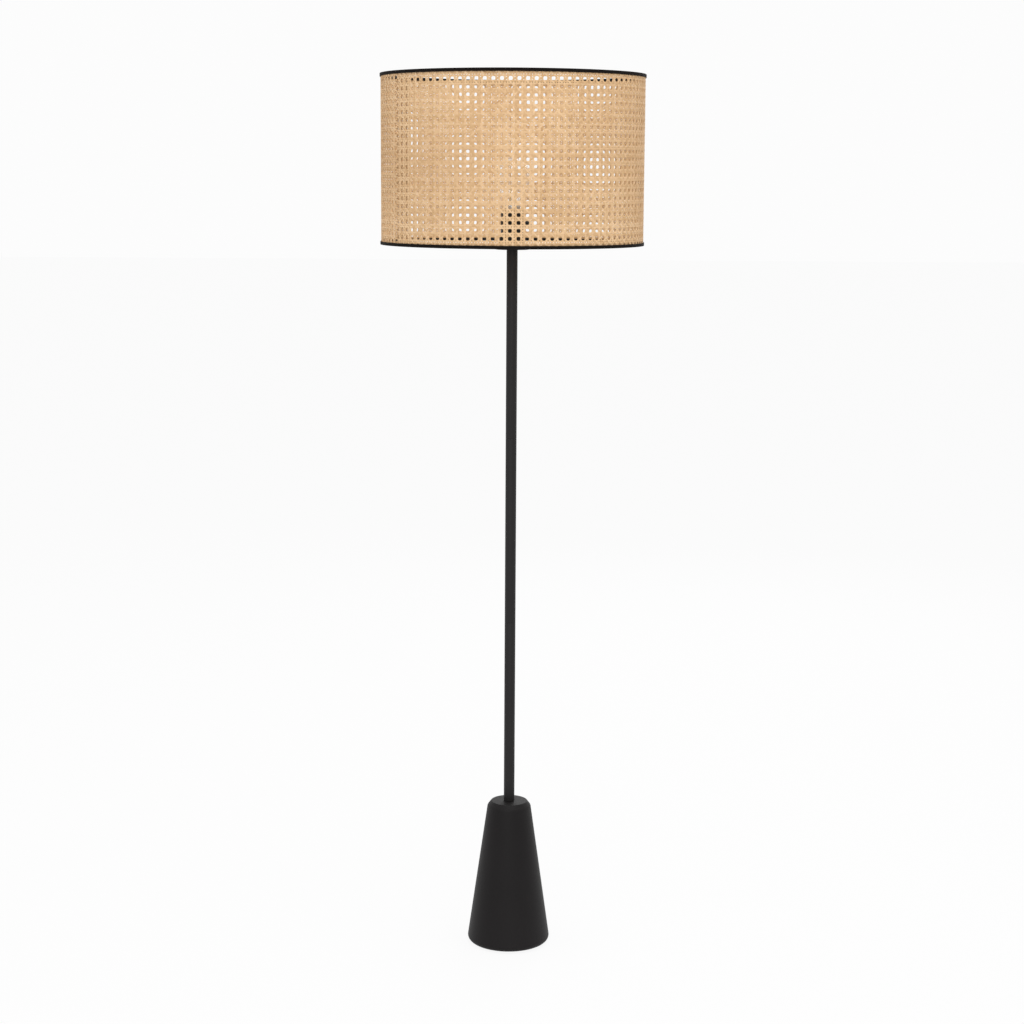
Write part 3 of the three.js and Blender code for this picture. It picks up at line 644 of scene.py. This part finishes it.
def lathed(name, profile, steps, closed=True, ripple=None):
    """Profile of (radius, height) turned round Z: x = r cos t, y = r sin t. A ripple moves r by (r, z, t)."""
    profile = np.asarray(profile, float)
    angle = np.arange(steps) * TAU / steps
    radius = np.repeat(profile[:, :1], steps, 1)
    height = np.repeat(profile[:, 1:], steps, 1)
    if ripple is not None:
        radius = radius + ripple(radius, height, angle[None, :])
    grid = np.stack([radius * np.cos(angle), radius * np.sin(angle), height], -1)
    return shaded(tidied(from_grid(name, grid, closed)))


def arc(centre_r, centre_z, radius, start, end, steps):
    """Points of (radius, height) on a circular arc between two angles."""
    angle = np.linspace(start, end, steps + 1)
    return np.stack([centre_r + radius * np.cos(angle), centre_z + radius * np.sin(angle)], 1)


def moved(piece, matrix):
    """Places a mesh by its points, so that the object itself stays at the origin."""
    piece.data.transform(matrix)
    return piece


def cut_by(piece, cutter):
    """Takes the cutter's shape away from the piece."""
    modifier = piece.modifiers.new("hole", "BOOLEAN")
    modifier.object = cutter
    modifier.operation = "DIFFERENCE"
    modifier.solver = "EXACT"
    graph = bpy.context.evaluated_depsgraph_get()
    mesh = bpy.data.meshes.new_from_object(piece.evaluated_get(graph))
    piece.modifiers.clear()
    old = piece.data
    piece.data = mesh
    bpy.data.meshes.remove(old)
    bpy.data.objects.remove(cutter)
    shaded(piece)


def swept(name, path, radius, across, sides):
    """Round wire along a path that lies in a plane, with the across vector square to that plane. Ends are capped."""
    along = np.gradient(path, axis=0)
    along /= np.linalg.norm(along, axis=1, keepdims=True)
    across = np.asarray(across, float)
    up = np.cross(along, across)
    angle = np.arange(sides) * TAU / sides
    ring = np.cos(angle)[None, :, None] * across + np.sin(angle)[None, :, None] * up[:, None, :]
    grid = path[:, None, :] + radius * ring
    index = np.arange(len(path) * sides).reshape(-1, sides)
    quads = quads_between(index[:-1], index[1:])
    loops = np.concatenate([quads.ravel(), index[0, ::-1], index[-1]])
    sizes = np.concatenate([np.full(quads.size // 4, 4), [sides, sides]])
    piece = object_from(name, grid.reshape(-1, 3), loops, sizes)
    work = bmesh.new()
    work.from_mesh(piece.data)
    bmesh.ops.recalc_face_normals(work, faces=work.faces)
    work.to_mesh(piece.data)
    work.free()
    return shaded(piece)


def cone_radius(level):
    """Radius of the cone's straight side, carried on past its roundings."""
    return CONE_FOOT_RADIUS - CONE_SLOPE * level


def cone_path(inset):
    """Cone outline from the lip round the foot edge, up the side, round the shoulder, up the bevel and over the crown.

    The bevel is the line that touches both the shoulder's and the crown edge's rounding. The inset moves it all in."""
    foot_level = CONE_FOOT + CONE_FOOT_ROUNDING
    foot_radius = cone_radius(foot_level) - CONE_FOOT_ROUNDING / math.cos(CONE_TILT)
    edge_level = CONE_HEIGHT - CONE_EDGE_ROUNDING
    edge_radius = CONE_CROWN_RADIUS - CONE_BEVEL_WIDTH
    c, s = math.cos(CONE_BEVEL_TILT), math.sin(CONE_BEVEL_TILT)
    reach = edge_radius * c + edge_level * s + CONE_EDGE_ROUNDING - CONE_SHOULDER_ROUNDING
    side = CONE_FOOT_RADIUS - CONE_SHOULDER_ROUNDING / math.cos(CONE_TILT)
    shoulder_level = (reach - side * c) / (s - CONE_SLOPE * c)
    shoulder_radius = side - CONE_SLOPE * shoulder_level
    return np.vstack([
        [[foot_radius - CONE_LIP, CONE_FOOT + inset]],
        arc(foot_radius, foot_level, CONE_FOOT_ROUNDING - inset, -QUARTER, CONE_TILT, FOOT_ARC_STEPS),
        arc(shoulder_radius, shoulder_level, CONE_SHOULDER_ROUNDING - inset, CONE_TILT, CONE_BEVEL_TILT,
            CROWN_ARC_STEPS),
        arc(edge_radius, edge_level, CONE_EDGE_ROUNDING - inset, CONE_BEVEL_TILT, QUARTER, CROWN_ARC_STEPS),
        [[CONE_HOLE, CONE_HEIGHT - inset]],
    ])


def outlet_matrix():
    """Frame whose Z axis stands square to the cone's side at the back, at the cable outlet."""
    place = Matrix.Translation((0, cone_radius(OUTLET_LEVEL), OUTLET_LEVEL))
    return place @ Matrix.Rotation(CONE_TILT - QUARTER, 4, "X")


def make_base():
    """Spun cone with its cable outlet and the rubber grommet in it."""
    shell = lathed("turned_cone", np.vstack([cone_path(0), cone_path(CONE_WALL)[::-1]]), CONE_STEPS)
    reach = CONE_WALL * 3
    hole = OUTLET_NECK + GAP
    cutter = lathed("outlet_cutter", [(0, -reach), (hole, -reach), (hole, reach), (0, reach)], HOLE_STEPS, closed=False)
    cut_by(shell, moved(cutter, outlet_matrix()))
    dress(shell, "black_metal", "stand", "base_shell")
    groove = CONE_WALL + OUTLET_SLACK * 2
    profile = softened([
        (OUTLET_BORE, -OUTLET_LIP - groove), (OUTLET_FLANGE, -OUTLET_LIP - groove), (OUTLET_FLANGE, -groove),
        (OUTLET_NECK, -groove), (OUTLET_NECK, 0), (OUTLET_FLANGE, 0), (OUTLET_FLANGE, OUTLET_LIP),
        (OUTLET_BORE, OUTLET_LIP),
    ], OUTLET_ROUNDING)
    grommet = lathed("outlet_grommet", profile, SMALL_STEPS)
    moved(grommet, outlet_matrix() @ Matrix.Translation((0, 0, OUTLET_SLACK)))
    dress(grommet, "black_rubber", "stand", "cable_grommet")


def make_pole():
    """Three tubes with small chamfers, so that their joints show as hairlines."""
    for node in ("pole_lower", "pole_middle", "pole_upper"):
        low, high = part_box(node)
        tube = lathed(node + "_tube", tube_section(POLE_RADIUS - POLE_WALL, POLE_RADIUS, low.z, high.z, POLE_CHAMFER),
                      POLE_STEPS)
        dress(tube, "black_metal", "stand", node)
        # The tubes take the lighter coat, whose extra brightness is painted sheen
        tube.data.materials[0] = pole_painted_sheen_coat


def make_head():
    """Seat disc, holder with its moulded thread, and the ring nut with a grip round its flange."""
    disc = lathed("turned_disc", tube_section(THREAD_HOLE, DISC_RADIUS, DISC_FOOT, DISC_TOP, DISC_ROUNDING), HEAD_STEPS)
    dress(disc, "black_metal", "stand", "seat_disc")
    neck = SHELL_RADIUS - HOLDER_WALL - GAP
    neck_bore = neck - HOLDER_WALL
    step = CAP_FOOT + CAP_STEP_HEIGHT
    cap = lathed("moulded_cap", softened([
        (THREAD_HOLE, CAP_FOOT), (CAP_RADIUS, CAP_FOOT), (CAP_RADIUS, step), (neck, step), (neck, CAP_TOP),
        (neck_bore, CAP_TOP), (neck_bore, CAP_FOOT + CAP_FLOOR), (THREAD_HOLE, CAP_FOOT + CAP_FLOOR),
    ], HOLDER_ROUNDING), HEAD_STEPS)
    dress(cap, "black_plastic", "stand", "holder_cap")
    make_holder_shell()
    make_ring_nut()


def make_holder_shell():
    """Outer sleeve with a thread between plain rims, left plain round the switch, and the switch's hole."""
    bore = SHELL_RADIUS - HOLDER_WALL
    outer = np.linspace(SHELL_FOOT + SLEEVE_CHAMFER, SHELL_TOP - SLEEVE_CHAMFER, SLEEVE_ROWS)
    profile = np.vstack([
        [[bore, SHELL_FOOT], [SHELL_RADIUS - SLEEVE_CHAMFER, SHELL_FOOT]],
        np.stack([np.full(len(outer), SHELL_RADIUS), outer], 1),
        [[SHELL_RADIUS - SLEEVE_CHAMFER, SHELL_TOP], [bore, SHELL_TOP]],
    ])
    switch_level = CAP_FOOT + SPINDLE_LEVEL

    def thread(radius, height, angle):
        inside = np.clip(np.minimum(height - SHELL_FOOT, SHELL_TOP - height) / SLEEVE_RIM - 1, 0, 1)
        switch_clear = np.clip(np.abs(height - switch_level) / SWITCH_CLEARANCE - 1, 0, 1)
        depth = SLEEVE_THREAD_DEPTH * thread_wave(height, angle, SLEEVE_PITCH)
        return -depth * inside * switch_clear * (radius > SHELL_RADIUS - THREAD_REACH)

    shell = lathed("threaded_sleeve", profile, THREAD_STEPS, ripple=thread)
    reach = SHELL_RADIUS * 1.5
    cutter = lathed("switch_cutter", [(0, 0), (SPINDLE_HOLE, 0), (SPINDLE_HOLE, reach), (0, reach)], HOLE_STEPS,
                    closed=False)
    cut_by(shell, moved(cutter, Matrix.Translation((0, 0, switch_level)) @ Matrix.Rotation(QUARTER, 4, "Y")))
    dress(shell, "black_plastic", "stand", "holder_shell")


def make_ring_nut():
    """Ring nut: scallops r = r - d |sin(n t)| round the flange give the grip."""
    bore = SHELL_RADIUS + GAP
    wall = bore + NUT_WALL
    top = NUT_FOOT + NUT_FLANGE_THICKNESS
    profile = softened([
        (bore, NUT_FOOT), (NUT_FLANGE, NUT_FOOT), (NUT_FLANGE, top), (wall, top), (wall, NUT_TOP), (bore, NUT_TOP),
    ], HOLDER_ROUNDING)

    def scallops(radius, height, angle):
        return -SCALLOP_DEPTH * np.abs(np.sin(SCALLOPS * angle)) * (radius > NUT_FLANGE - SCALLOP_REACH)

    nut = lathed("grip_ring", profile, NUT_STEPS, ripple=scallops)
    dress(nut, "black_plastic", "stand", "shade_ring")


def make_knob():
    """Switch knob: flutes r = r - d (1 - cos(n t)) / 2 round its rim, a dished end and a blind bore."""
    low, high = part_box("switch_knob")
    length = high.x - low.x
    dish_rim, dish_floor = (KNOB_RADIUS * share for share in KNOB_DISH_SHARES)
    profile = softened([
        (SPINDLE_HOLE, 0), (KNOB_RADIUS - KNOB_TAPER, 0), (KNOB_RADIUS, KNOB_TAPER_LENGTH), (KNOB_RADIUS, length),
        (dish_rim, length), (dish_floor, length - KNOB_DISH_DEPTH), (0, length - KNOB_DISH_DEPTH),
        (0, KNOB_BORE_DEPTH), (SPINDLE_HOLE, KNOB_BORE_DEPTH),
    ], KNOB_ROUNDING)
    profile[:, 0] = np.maximum(profile[:, 0], 0)

    def flutes(radius, height, angle):
        return -FLUTE_DEPTH * (1 - np.cos(FLUTES * angle)) / 2 * (radius > KNOB_RADIUS * FLUTED_SHARE)

    knob = lathed("fluted_knob", profile, KNOB_STEPS, ripple=flutes)
    middle = (low.z + high.z) / 2
    moved(knob, Matrix.Translation((low.x, 0, middle)) @ Matrix.Rotation(QUARTER, 4, "Y"))
    dress(knob, "black_plastic", "knob", "switch_knob")


def bulb_outline(inset):
    """Glass outline: a cubic curve from the neck to the belly, then a round dome."""
    neck = BULB_CAP_RADIUS - GLASS_NECK_INSET - inset
    belly = BULB_RADIUS - inset
    centre = BULB_TOP - BULB_RADIUS
    swell = centre - BULB_CAP_TOP
    curve = cubic((neck, BULB_CAP_TOP), (neck, BULB_CAP_TOP + GLASS_NECK_PULL * swell),
                  (belly, BULB_CAP_TOP + GLASS_BELLY_PULL * swell), (belly, centre), NECK_STEPS)
    dome = arc(0, centre, belly, 0, QUARTER, DOME_STEPS)[1:]
    dome[-1, 0] = 0
    return np.vstack([[[neck, BULB_CAP_TOP - GLASS_NECK_DEPTH]], curve, dome])


def make_bulb():
    """Clear bulb: glass wall, threaded cap, stem and filaments that stand round it."""
    glass = lathed("blown_glass", np.vstack([bulb_outline(0), bulb_outline(GLASS_WALL)[::-1]]), HEAD_STEPS)
    dress(glass, "clear_glass", "bulb", "bulb_glass")
    floor = BULB_CAP_TOP - BULB_CAP_DISH
    side = np.linspace(BULB_CAP_FOOT + BULB_CAP_CONE_HEIGHT + BULB_CAP_LIP, BULB_CAP_TOP - BULB_CAP_LIP, BULB_CAP_ROWS)
    profile = np.vstack([
        [[0, BULB_CAP_FOOT], [BULB_CAP_TIP_RADIUS, BULB_CAP_FOOT],
         [BULB_CAP_RADIUS - BULB_CAP_CONE_INSET, BULB_CAP_FOOT + BULB_CAP_CONE_HEIGHT]],
        np.stack([np.full(len(side), BULB_CAP_RADIUS), side], 1),
        [[BULB_CAP_RADIUS - BULB_CAP_LIP_INSET, BULB_CAP_TOP], [BULB_CAP_RADIUS - BULB_CAP_LIP, floor], [0, floor]],
    ])

    def thread(radius, height, angle):
        fading = np.clip((BULB_CAP_TOP - BULB_PLAIN_RIM - height) / BULB_THREAD_FADE, 0, 1)
        depth = BULB_THREAD_DEPTH * thread_wave(height, angle, BULB_THREAD_PITCH)
        return -depth * fading * (radius > BULB_CAP_RADIUS - THREAD_REACH)

    cap = lathed("threaded_cap", profile, THREAD_STEPS, closed=False, ripple=thread)
    dress(cap, "zinc_steel", "bulb", "bulb_cap")
    make_stem()


def make_stem():
    """Glass stem with its flare, collar and button, and the filaments between collar and button."""
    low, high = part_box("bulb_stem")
    collar = BULB_FOOT + COLLAR_LEVEL
    collar_top = collar + COLLAR_THICKNESS
    button = high.z - BUTTON_THICKNESS
    flare = BULB_CAP_TOP - STEM_FLARE_DEPTH
    flare_radius = high.x - STEM_FLARE_INSET
    profile = softened([
        (0, flare), (flare_radius, flare), (flare_radius, flare + STEM_FLARE_RIM),
        (STEM_RADIUS, flare + STEM_FLARE_HEIGHT), (STEM_RADIUS, collar), (COLLAR_RADIUS, collar),
        (COLLAR_RADIUS, collar_top), (STEM_RADIUS, collar_top),
        (STEM_RADIUS, button), (BUTTON_RADIUS, button), (BUTTON_RADIUS, high.z), (0, high.z),
    ], STEM_ROUNDING, closed=False)
    stem = lathed("glass_stem", profile, SMALL_STEPS, closed=False)
    dress(stem, "clear_glass", "bulb", "bulb_stem")
    for i in range(FILAMENT_COUNT):
        node = f"bulb_filament_{i + 1}"
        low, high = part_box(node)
        turn = math.pi / 4 + i * TAU / FILAMENT_COUNT
        outwards = np.array([math.cos(turn), math.sin(turn), 0])
        foot = outwards * FILAMENT_FOOT_RADIUS + [0, 0, low.z]
        tip = outwards * FILAMENT_TIP_RADIUS + [0, 0, high.z]
        bar = swept(f"coated_filament_{i + 1}", np.linspace(foot, tip, FILAMENT_ROWS), FILAMENT_WIRE,
                    (-math.sin(turn), math.cos(turn), 0), FILAMENT_SIDES)
        dress(bar, "filament", "bulb", node)


def make_hoops():
    """Wire hoops: x = (R + r cos s) cos t, y = (R + r cos s) sin t, z = r sin s."""
    last = TAU * WIRE_ARC_STEPS / (WIRE_ARC_STEPS + 1)
    section = arc(HOOP_OUTER - HOOP_WIRE, 0, HOOP_WIRE, 0, last, WIRE_ARC_STEPS)
    for node in ("lower_hoop", "upper_hoop"):
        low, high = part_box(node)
        hoop = lathed(node + "_wire", section + [0, (low.z + high.z) / 2], HOOP_STEPS)
        dress(hoop, "black_metal", "shade", node)


def make_trims():
    """Edge trims: an outer skirt and a web, with the slight waves of a tape laid by hand."""
    rng = np.random.default_rng(SEED)
    skirt_bore = SHADE_RADIUS - TRIM_WALL
    outline = softened([
        (HOOP_INNER, 0), (SHADE_RADIUS, 0), (SHADE_RADIUS, TRIM_HEIGHT), (skirt_bore, TRIM_HEIGHT),
        (skirt_bore, TRIM_WALL), (HOOP_INNER, TRIM_WALL),
    ], TRIM_ROUNDING)
    for node, foot, turned in (("lower_trim", SHADE_FOOT, 1), ("upper_trim", SHADE_TOP, -1)):
        profile = outline[::turned] * [1, turned] + [0, foot]
        phases = rng.uniform(0, TAU, len(TAPE_WAVES))

        def waves(radius, height, angle, foot=foot, phases=phases):
            rise = np.clip(np.abs(height - foot) / TRIM_HEIGHT, 0, 1) * (radius > SHADE_RADIUS - TAPE_WAVE_REACH)
            sway = sum(np.sin(n * angle + p) for n, p in zip(TAPE_WAVES, phases)) / len(TAPE_WAVES)
            return -TAPE_WAVE_DEPTH * (1 + sway) * rise

        trim = lathed(node + "_tape", profile, TRIM_STEPS, ripple=waves)
        dress(trim, "black_tape", "shade", node)


def make_carrier():
    """Carrier ring, and arms of round wire that rise from it to the hoop in a gentle crank."""
    ring = lathed("carrier_ring", tube_section(RING_BORE, RING_RADIUS, RING_FOOT, RING_TOP, RING_ROUNDING), HEAD_STEPS)
    dress(ring, "black_metal", "shade", "spider_ring")
    start = NUT_FLANGE + 2 * GAP
    end = HOOP_INNER - GAP
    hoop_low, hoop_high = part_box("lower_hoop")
    low, high = RING_TOP + GAP + ARM_WIRE, (hoop_low.z + hoop_high.z) / 2
    bend = (end - start) * ARM_BEND_SHARE
    path = cubic((start, low), (start + bend, low), (end - bend, high), (end, high), ARM_STEPS)
    for i in range(ARM_COUNT):
        turn = QUARTER + i * TAU / ARM_COUNT
        c, s = math.cos(turn), math.sin(turn)
        line = np.stack([path[:, 0] * c, path[:, 0] * s, path[:, 1]], 1)
        arm = swept(f"carrier_arm_{i + 1}", line, ARM_WIRE, (-s, c, 0), ARM_SIDES)
        dress(arm, "black_metal", "shade", f"spider_arm_{i + 1}")


def strand_section(width):
    """Cross-section of a strand as (across, out) points: flat inside, gently crowned outside."""
    half, thick = width / 2, STRAND_THICKNESS / 2
    flat, edge = STRAND_FLAT_SHARE * half, STRAND_EDGE_SHARE * thick
    return np.array([(-flat, -thick), (flat, -thick), (half, edge), (0, thick), (-half, edge)])


def strands(name, angle, height, lift, width, middle, tones):
    """Flat strands on the drum, one row of places for each: angle round it, height, and lift out from the middle.

    Each place gets the strand's section, set square to the strand."""
    count, steps = angle.shape
    section = strand_section(width)
    sides = len(section)
    across = angle * middle
    step_a = across[:, 1:2] - across[:, :1]
    step_h = height[:, 1:2] - height[:, :1]
    length = np.hypot(step_a, step_h)
    side_a, side_h = (step_h / length)[:, :, None], (-step_a / length)[:, :, None]
    t = (across[:, :, None] + side_a * section[:, 0]) / middle
    h = height[:, :, None] + side_h * section[:, 0]
    r = middle + lift[:, :, None] + section[:, 1]
    points = np.stack([r * np.sin(t), -r * np.cos(t), h], -1)
    index = np.arange(count * steps * sides).reshape(count, steps, sides)
    quads = quads_between(index[:, :-1], index[:, 1:])
    loops = np.concatenate([quads.ravel(), index[:, 0, ::-1].ravel(), index[:, -1].ravel()])
    sizes = np.concatenate([np.full(quads.size // 4, 4), np.full(2 * count, sides)])
    piece = object_from(name, points.reshape(-1, 3), loops, sizes)
    add_strand_maps(piece, quads.shape[:3], across, height, sides, loops.size - quads.size)
    tone = piece.data.attributes.new("tone", "FLOAT", "POINT")
    tone.data.foreach_set("value", np.repeat(tones, steps * sides).astype(np.float32))
    return shaded(piece)


def add_strand_maps(piece, shape, across, height, sides, spare):
    """UV maps: Strand holds (share of the way round the section, metres along); OFBake gives each strand a strip."""
    count, steps, _ = shape
    step = np.hypot(across[:, 1:2] - across[:, :1], height[:, 1:2] - height[:, :1])
    along = np.arange(steps + 1)[None, :] * step
    s0, s1 = along[:, :-1, None], along[:, 1:, None]
    k0 = np.arange(sides)[None, None, :] / sides
    k1 = k0 + 1 / sides
    ones = np.ones((count, steps, sides))
    round_share = np.stack([k0 * ones, k1 * ones, k1 * ones, k0 * ones], -1)
    metres = np.stack([s0 * ones, s0 * ones, s1 * ones, s1 * ones], -1)
    place = np.arange(count)[:, None, None, None]
    strand = np.stack([round_share, metres + place * FIBRE_SHIFT], -1).reshape(-1, 2)
    row = (place + STRIP_SIDE_MARGIN + (1 - 2 * STRIP_SIDE_MARGIN) * round_share) / count
    column = STRIP_END_MARGIN + (1 - 2 * STRIP_END_MARGIN) * metres / along.max()
    bake = np.stack([column, row], -1).reshape(-1, 2)
    for name, values in (("Strand", strand), ("OFBake", bake)):
        layer = piece.data.uv_layers.new(name=name, do_init=False)
        filler = np.repeat(values[-1:], spare, 0)
        layer.uv.foreach_set("vector", np.vstack([values, filler]).astype(np.float32).ravel())


def column_at(angle):
    """Column of the sheet at an angle round the drum from its front: whole numbers are the middles of holes."""
    return angle / CELL_ANGLE + HOLE_COLUMN_SHARE


def weave(prefix, low, high, first, last, middle, slip, rng):
    """Octagonal cane between two heights and two columns, its mesh slipped by a share of a cell both ways.

    A place is counted in cells from the middle of a hole: angle = a (column - share), and height = foot + h (row +
    rise (column - share)) on a sheet laid askew. Uprights lift by +-d sin(2 pi row) and level strands by the opposite
    of +-d sin(2 pi column), so each passes over one neighbour and under the next. Slanting strands lift by
    d cos(2 pi row), one way outwards where the other goes inwards."""
    foot = SHADE_FOOT + FIRST_HOLE_ROW
    rows_up = math.ceil((high - low) / CELL_HEIGHT)
    share = np.linspace(0, 1, rows_up * STEPS_PER_CELL + 1)
    pieces = []

    def row_at(height, column):
        return (height - foot) / CELL_HEIGHT - ROWS_A_CELL * (column - HOLE_COLUMN_SHARE)

    def column_where(row, height):
        return ((height - foot) / CELL_HEIGHT - row) / ROWS_A_CELL + HOLE_COLUMN_SHARE

    def add(label, column, row, lift, width):
        column, row = np.broadcast_arrays(column, row)
        height = foot + CELL_HEIGHT * (row + ROWS_A_CELL * (column - HOLE_COLUMN_SHARE))
        angle = (column - HOLE_COLUMN_SHARE) * CELL_ANGLE
        lift = np.broadcast_to(lift, row.shape)
        pieces.append(strands(f"{prefix}_{label}", angle, height, lift, width, middle, rng.random(len(row))))

    half = UPRIGHT_WIDTH / 2 / CELL_WIDTH
    for side, label in ((-1, "left"), (1, "right")):
        column = np.arange(math.floor(first) - 1, math.ceil(last) + 1) + 0.5 + slip
        column = column + side * UPRIGHT_SPACING / 2 / CELL_WIDTH
        column = column[(column > first + half) & (column < last - half), None]
        start, stop = row_at(low, column), row_at(high, column)
        row = start + (stop - start) * share
        add(f"uprights_{label}", column, row, -side * WEAVE_DEPTH * np.sin(TAU * (row - slip)), UPRIGHT_WIDTH)

    margin = LEVEL_WIDTH / 2
    along = np.linspace(0, 1, math.ceil((last - first) * STEPS_PER_CELL) + 1)
    for rows, label in ((range(-2, rows_up // 2), "lower"), (range(rows_up // 2, rows_up + 2), "upper")):
        pairs = np.array([(row, side) for row in rows for side in (-1, 1)], float)
        side = pairs[:, 1:]
        row = pairs[:, :1] + 0.5 + slip + side * LEVEL_SPACING / 2 / CELL_HEIGHT
        start = np.clip(column_where(row, low + margin), first, last)
        stop = np.clip(column_where(row, high - margin), first, last)
        keep = (stop - start > SHORTEST_STRAND)[:, 0]
        row, side, start, stop = row[keep], side[keep], start[keep], stop[keep]
        column = start + (stop - start) * along
        add(f"levels_{label}", column, row, side * WEAVE_DEPTH * np.sin(TAU * (column - slip)), LEVEL_WIDTH)

    half = SLANT_WIDTH / 2 / CELL_WIDTH
    reach = rows_up + 3
    for lean, label in ((1, "rising"), (-1, "falling")):
        place = np.arange(math.floor(first) - reach, math.ceil(last) + reach)[:, None] + 0.5 + slip - lean * slip
        start = row_at(low, place) / (1 + lean * ROWS_A_CELL)
        stop = row_at(high, place) / (1 + lean * ROWS_A_CELL)
        edges = np.sort(np.hstack([first + half - place, last - half - place]) * lean)
        start, stop = np.maximum(start, edges[:, :1]), np.minimum(stop, edges[:, 1:])
        keep = (stop - start > SHORTEST_STRAND)[:, 0]
        place, start, stop = place[keep], start[keep], stop[keep]
        row = start + (stop - start) * share
        add(f"slants_{label}", place + lean * row, row, lean * SLANT_DEPTH * np.cos(TAU * (row - slip)), SLANT_WIDTH)
    return pieces


def edge_strips(first, last, rng):
    """Flat strips inside the sheet, one along each trim, that close the rows of holes cut there."""
    column = np.linspace(first, last, math.ceil((last - first) * STEPS_PER_CELL) + 1)
    angle = np.tile((column - HOLE_COLUMN_SHARE) * CELL_ANGLE, (2, 1))
    levels = np.array([[SHADE_FOOT + EDGE_STRIP_LEVEL], [SHADE_TOP - EDGE_STRIP_LEVEL]])
    height = np.repeat(levels, len(column), 1)
    return strands("cane_edge_strips", angle, height, np.zeros(angle.shape), EDGE_STRIP_WIDTH,
                   CANE_MIDDLE - EDGE_STRIP_INSET, rng.random(len(levels)))


def make_cane():
    """The sheet of webbing, the strip that backs its seam and its edge strips, which all stand for the CAD panel."""
    rng = np.random.default_rng(SEED)
    first = column_at(SEAM_ANGLE)
    pieces = weave("cane", CANE_FOOT, CANE_TOP, first, first + CELLS_ROUND, CANE_MIDDLE, 0, rng)
    pieces += weave("backing", SHADE_FOOT + BACKING_SHY, SHADE_TOP - BACKING_SHY, column_at(BACKING_START),
                    column_at(BACKING_END), CANE_MIDDLE - BACKING_INSET, BACKING_SLIP, rng)
    pieces.append(edge_strips(first, first + CELLS_ROUND, rng))
    for piece in pieces:
        dress(piece, "rattan", "shade")
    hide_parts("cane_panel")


def dress_hidden_nodes():
    """CAD nodes whose shape is right keep it and take the finish of their slot."""
    slots = {row["node"]: row["material_slot"] for row in frame["record"]["subparts"]}
    for name, node in frame["nodes"].items():
        node.data.materials.clear()
        node.data.materials.append(finishes[slots[name]])


def make_camera():
    """Camera at the photograph's place, pitched down and rolled a little, with its lens in pixels of the photograph."""
    data = bpy.data.cameras.new("photo_camera")
    data.sensor_width = SENSOR_WIDTH
    data.lens = FOCAL_PIXELS / PHOTO_PIXELS * SENSOR_WIDTH
    camera = added("photo_camera", data)
    turn = Matrix.Rotation(math.radians(90 - CAMERA_PITCH), 4, "X") @ Matrix.Rotation(math.radians(CAMERA_ROLL), 4, "Z")
    camera.matrix_world = Matrix.Translation((CAMERA_SIDE, -CAMERA_DISTANCE, CAMERA_HEIGHT)) @ turn
    bpy.context.scene.camera = camera


def seen_directly(tree):
    """1 for camera, glossy and transmission rays, which see the white studio; 0 for the light that falls on things."""
    rays = tree.nodes.new("ShaderNodeLightPath")
    total = rays.outputs["Is Camera Ray"]
    for name in ("Is Glossy Ray", "Is Transmission Ray"):
        most = tree.nodes.new("ShaderNodeMath")
        most.operation = "MAXIMUM"
        tree.links.new(total, most.inputs[0])
        tree.links.new(rays.outputs[name], most.inputs[1])
        total = most.outputs[0]
    return total


def make_world():
    """World that lights things plainly and looks white."""
    world = bpy.data.worlds.new("studio")
    bpy.context.scene.world = world
    tree, output = emptied(world, "ShaderNodeOutputWorld")
    background = tree.nodes.new("ShaderNodeBackground")
    background.inputs["Color"].default_value = WHITE
    tree.links.new(spread(tree, seen_directly(tree), (WORLD_LIGHT, WALL_WHITE)), background.inputs["Strength"])
    tree.links.new(background.outputs["Background"], output.inputs["Surface"])


def make_floor():
    """Pale floor that looks almost white and keeps a soft shadow."""
    mesh = bpy.data.meshes.new("studio_floor")
    corners = [(x * FLOOR_REACH, y * FLOOR_REACH, 0) for x, y in ((-1, -1), (1, -1), (1, 1), (-1, 1))]
    mesh.from_pydata(corners, [], [(0, 1, 2, 3)])
    material = bpy.data.materials.new("studio_floor")
    tree, output = emptied(material, "ShaderNodeOutputMaterial")
    paint = tree.nodes.new("ShaderNodeBsdfDiffuse")
    paint.inputs["Color"].default_value = FLOOR_PAINT
    glow = tree.nodes.new("ShaderNodeEmission")
    glow.inputs["Color"].default_value = WHITE
    glow.inputs["Strength"].default_value = FLOOR_GLOW
    mix = tree.nodes.new("ShaderNodeMixShader")
    tree.links.new(spread(tree, seen_directly(tree), (0.0, FLOOR_WHITE)), mix.inputs["Fac"])
    tree.links.new(paint.outputs["BSDF"], mix.inputs[1])
    tree.links.new(glow.outputs["Emission"], mix.inputs[2])
    tree.links.new(mix.outputs["Shader"], output.inputs["Surface"])
    mesh.materials.append(material)
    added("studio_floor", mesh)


def make_lamps():
    """Large soft lamps in front, above and behind, which the camera doesn't see."""
    for name, place, aim, size, power in LAMPS:
        data = bpy.data.lights.new(name, "AREA")
        data.shape = "DISK"
        data.size = size
        data.energy = power
        lamp = added(name, data)
        lamp.rotation_euler = (Vector(place) - Vector(aim)).to_track_quat("Z", "Y").to_euler()
        lamp.location = place
        lamp.visible_camera = False


make_camera()
dress_hidden_nodes()
make_base()
make_pole()
make_head()
make_knob()
make_bulb()
make_hoops()
make_trims()
make_carrier()
make_cane()
make_world()
make_floor()
make_lamps()

bpy.context.scene.view_settings.view_transform = "Standard"
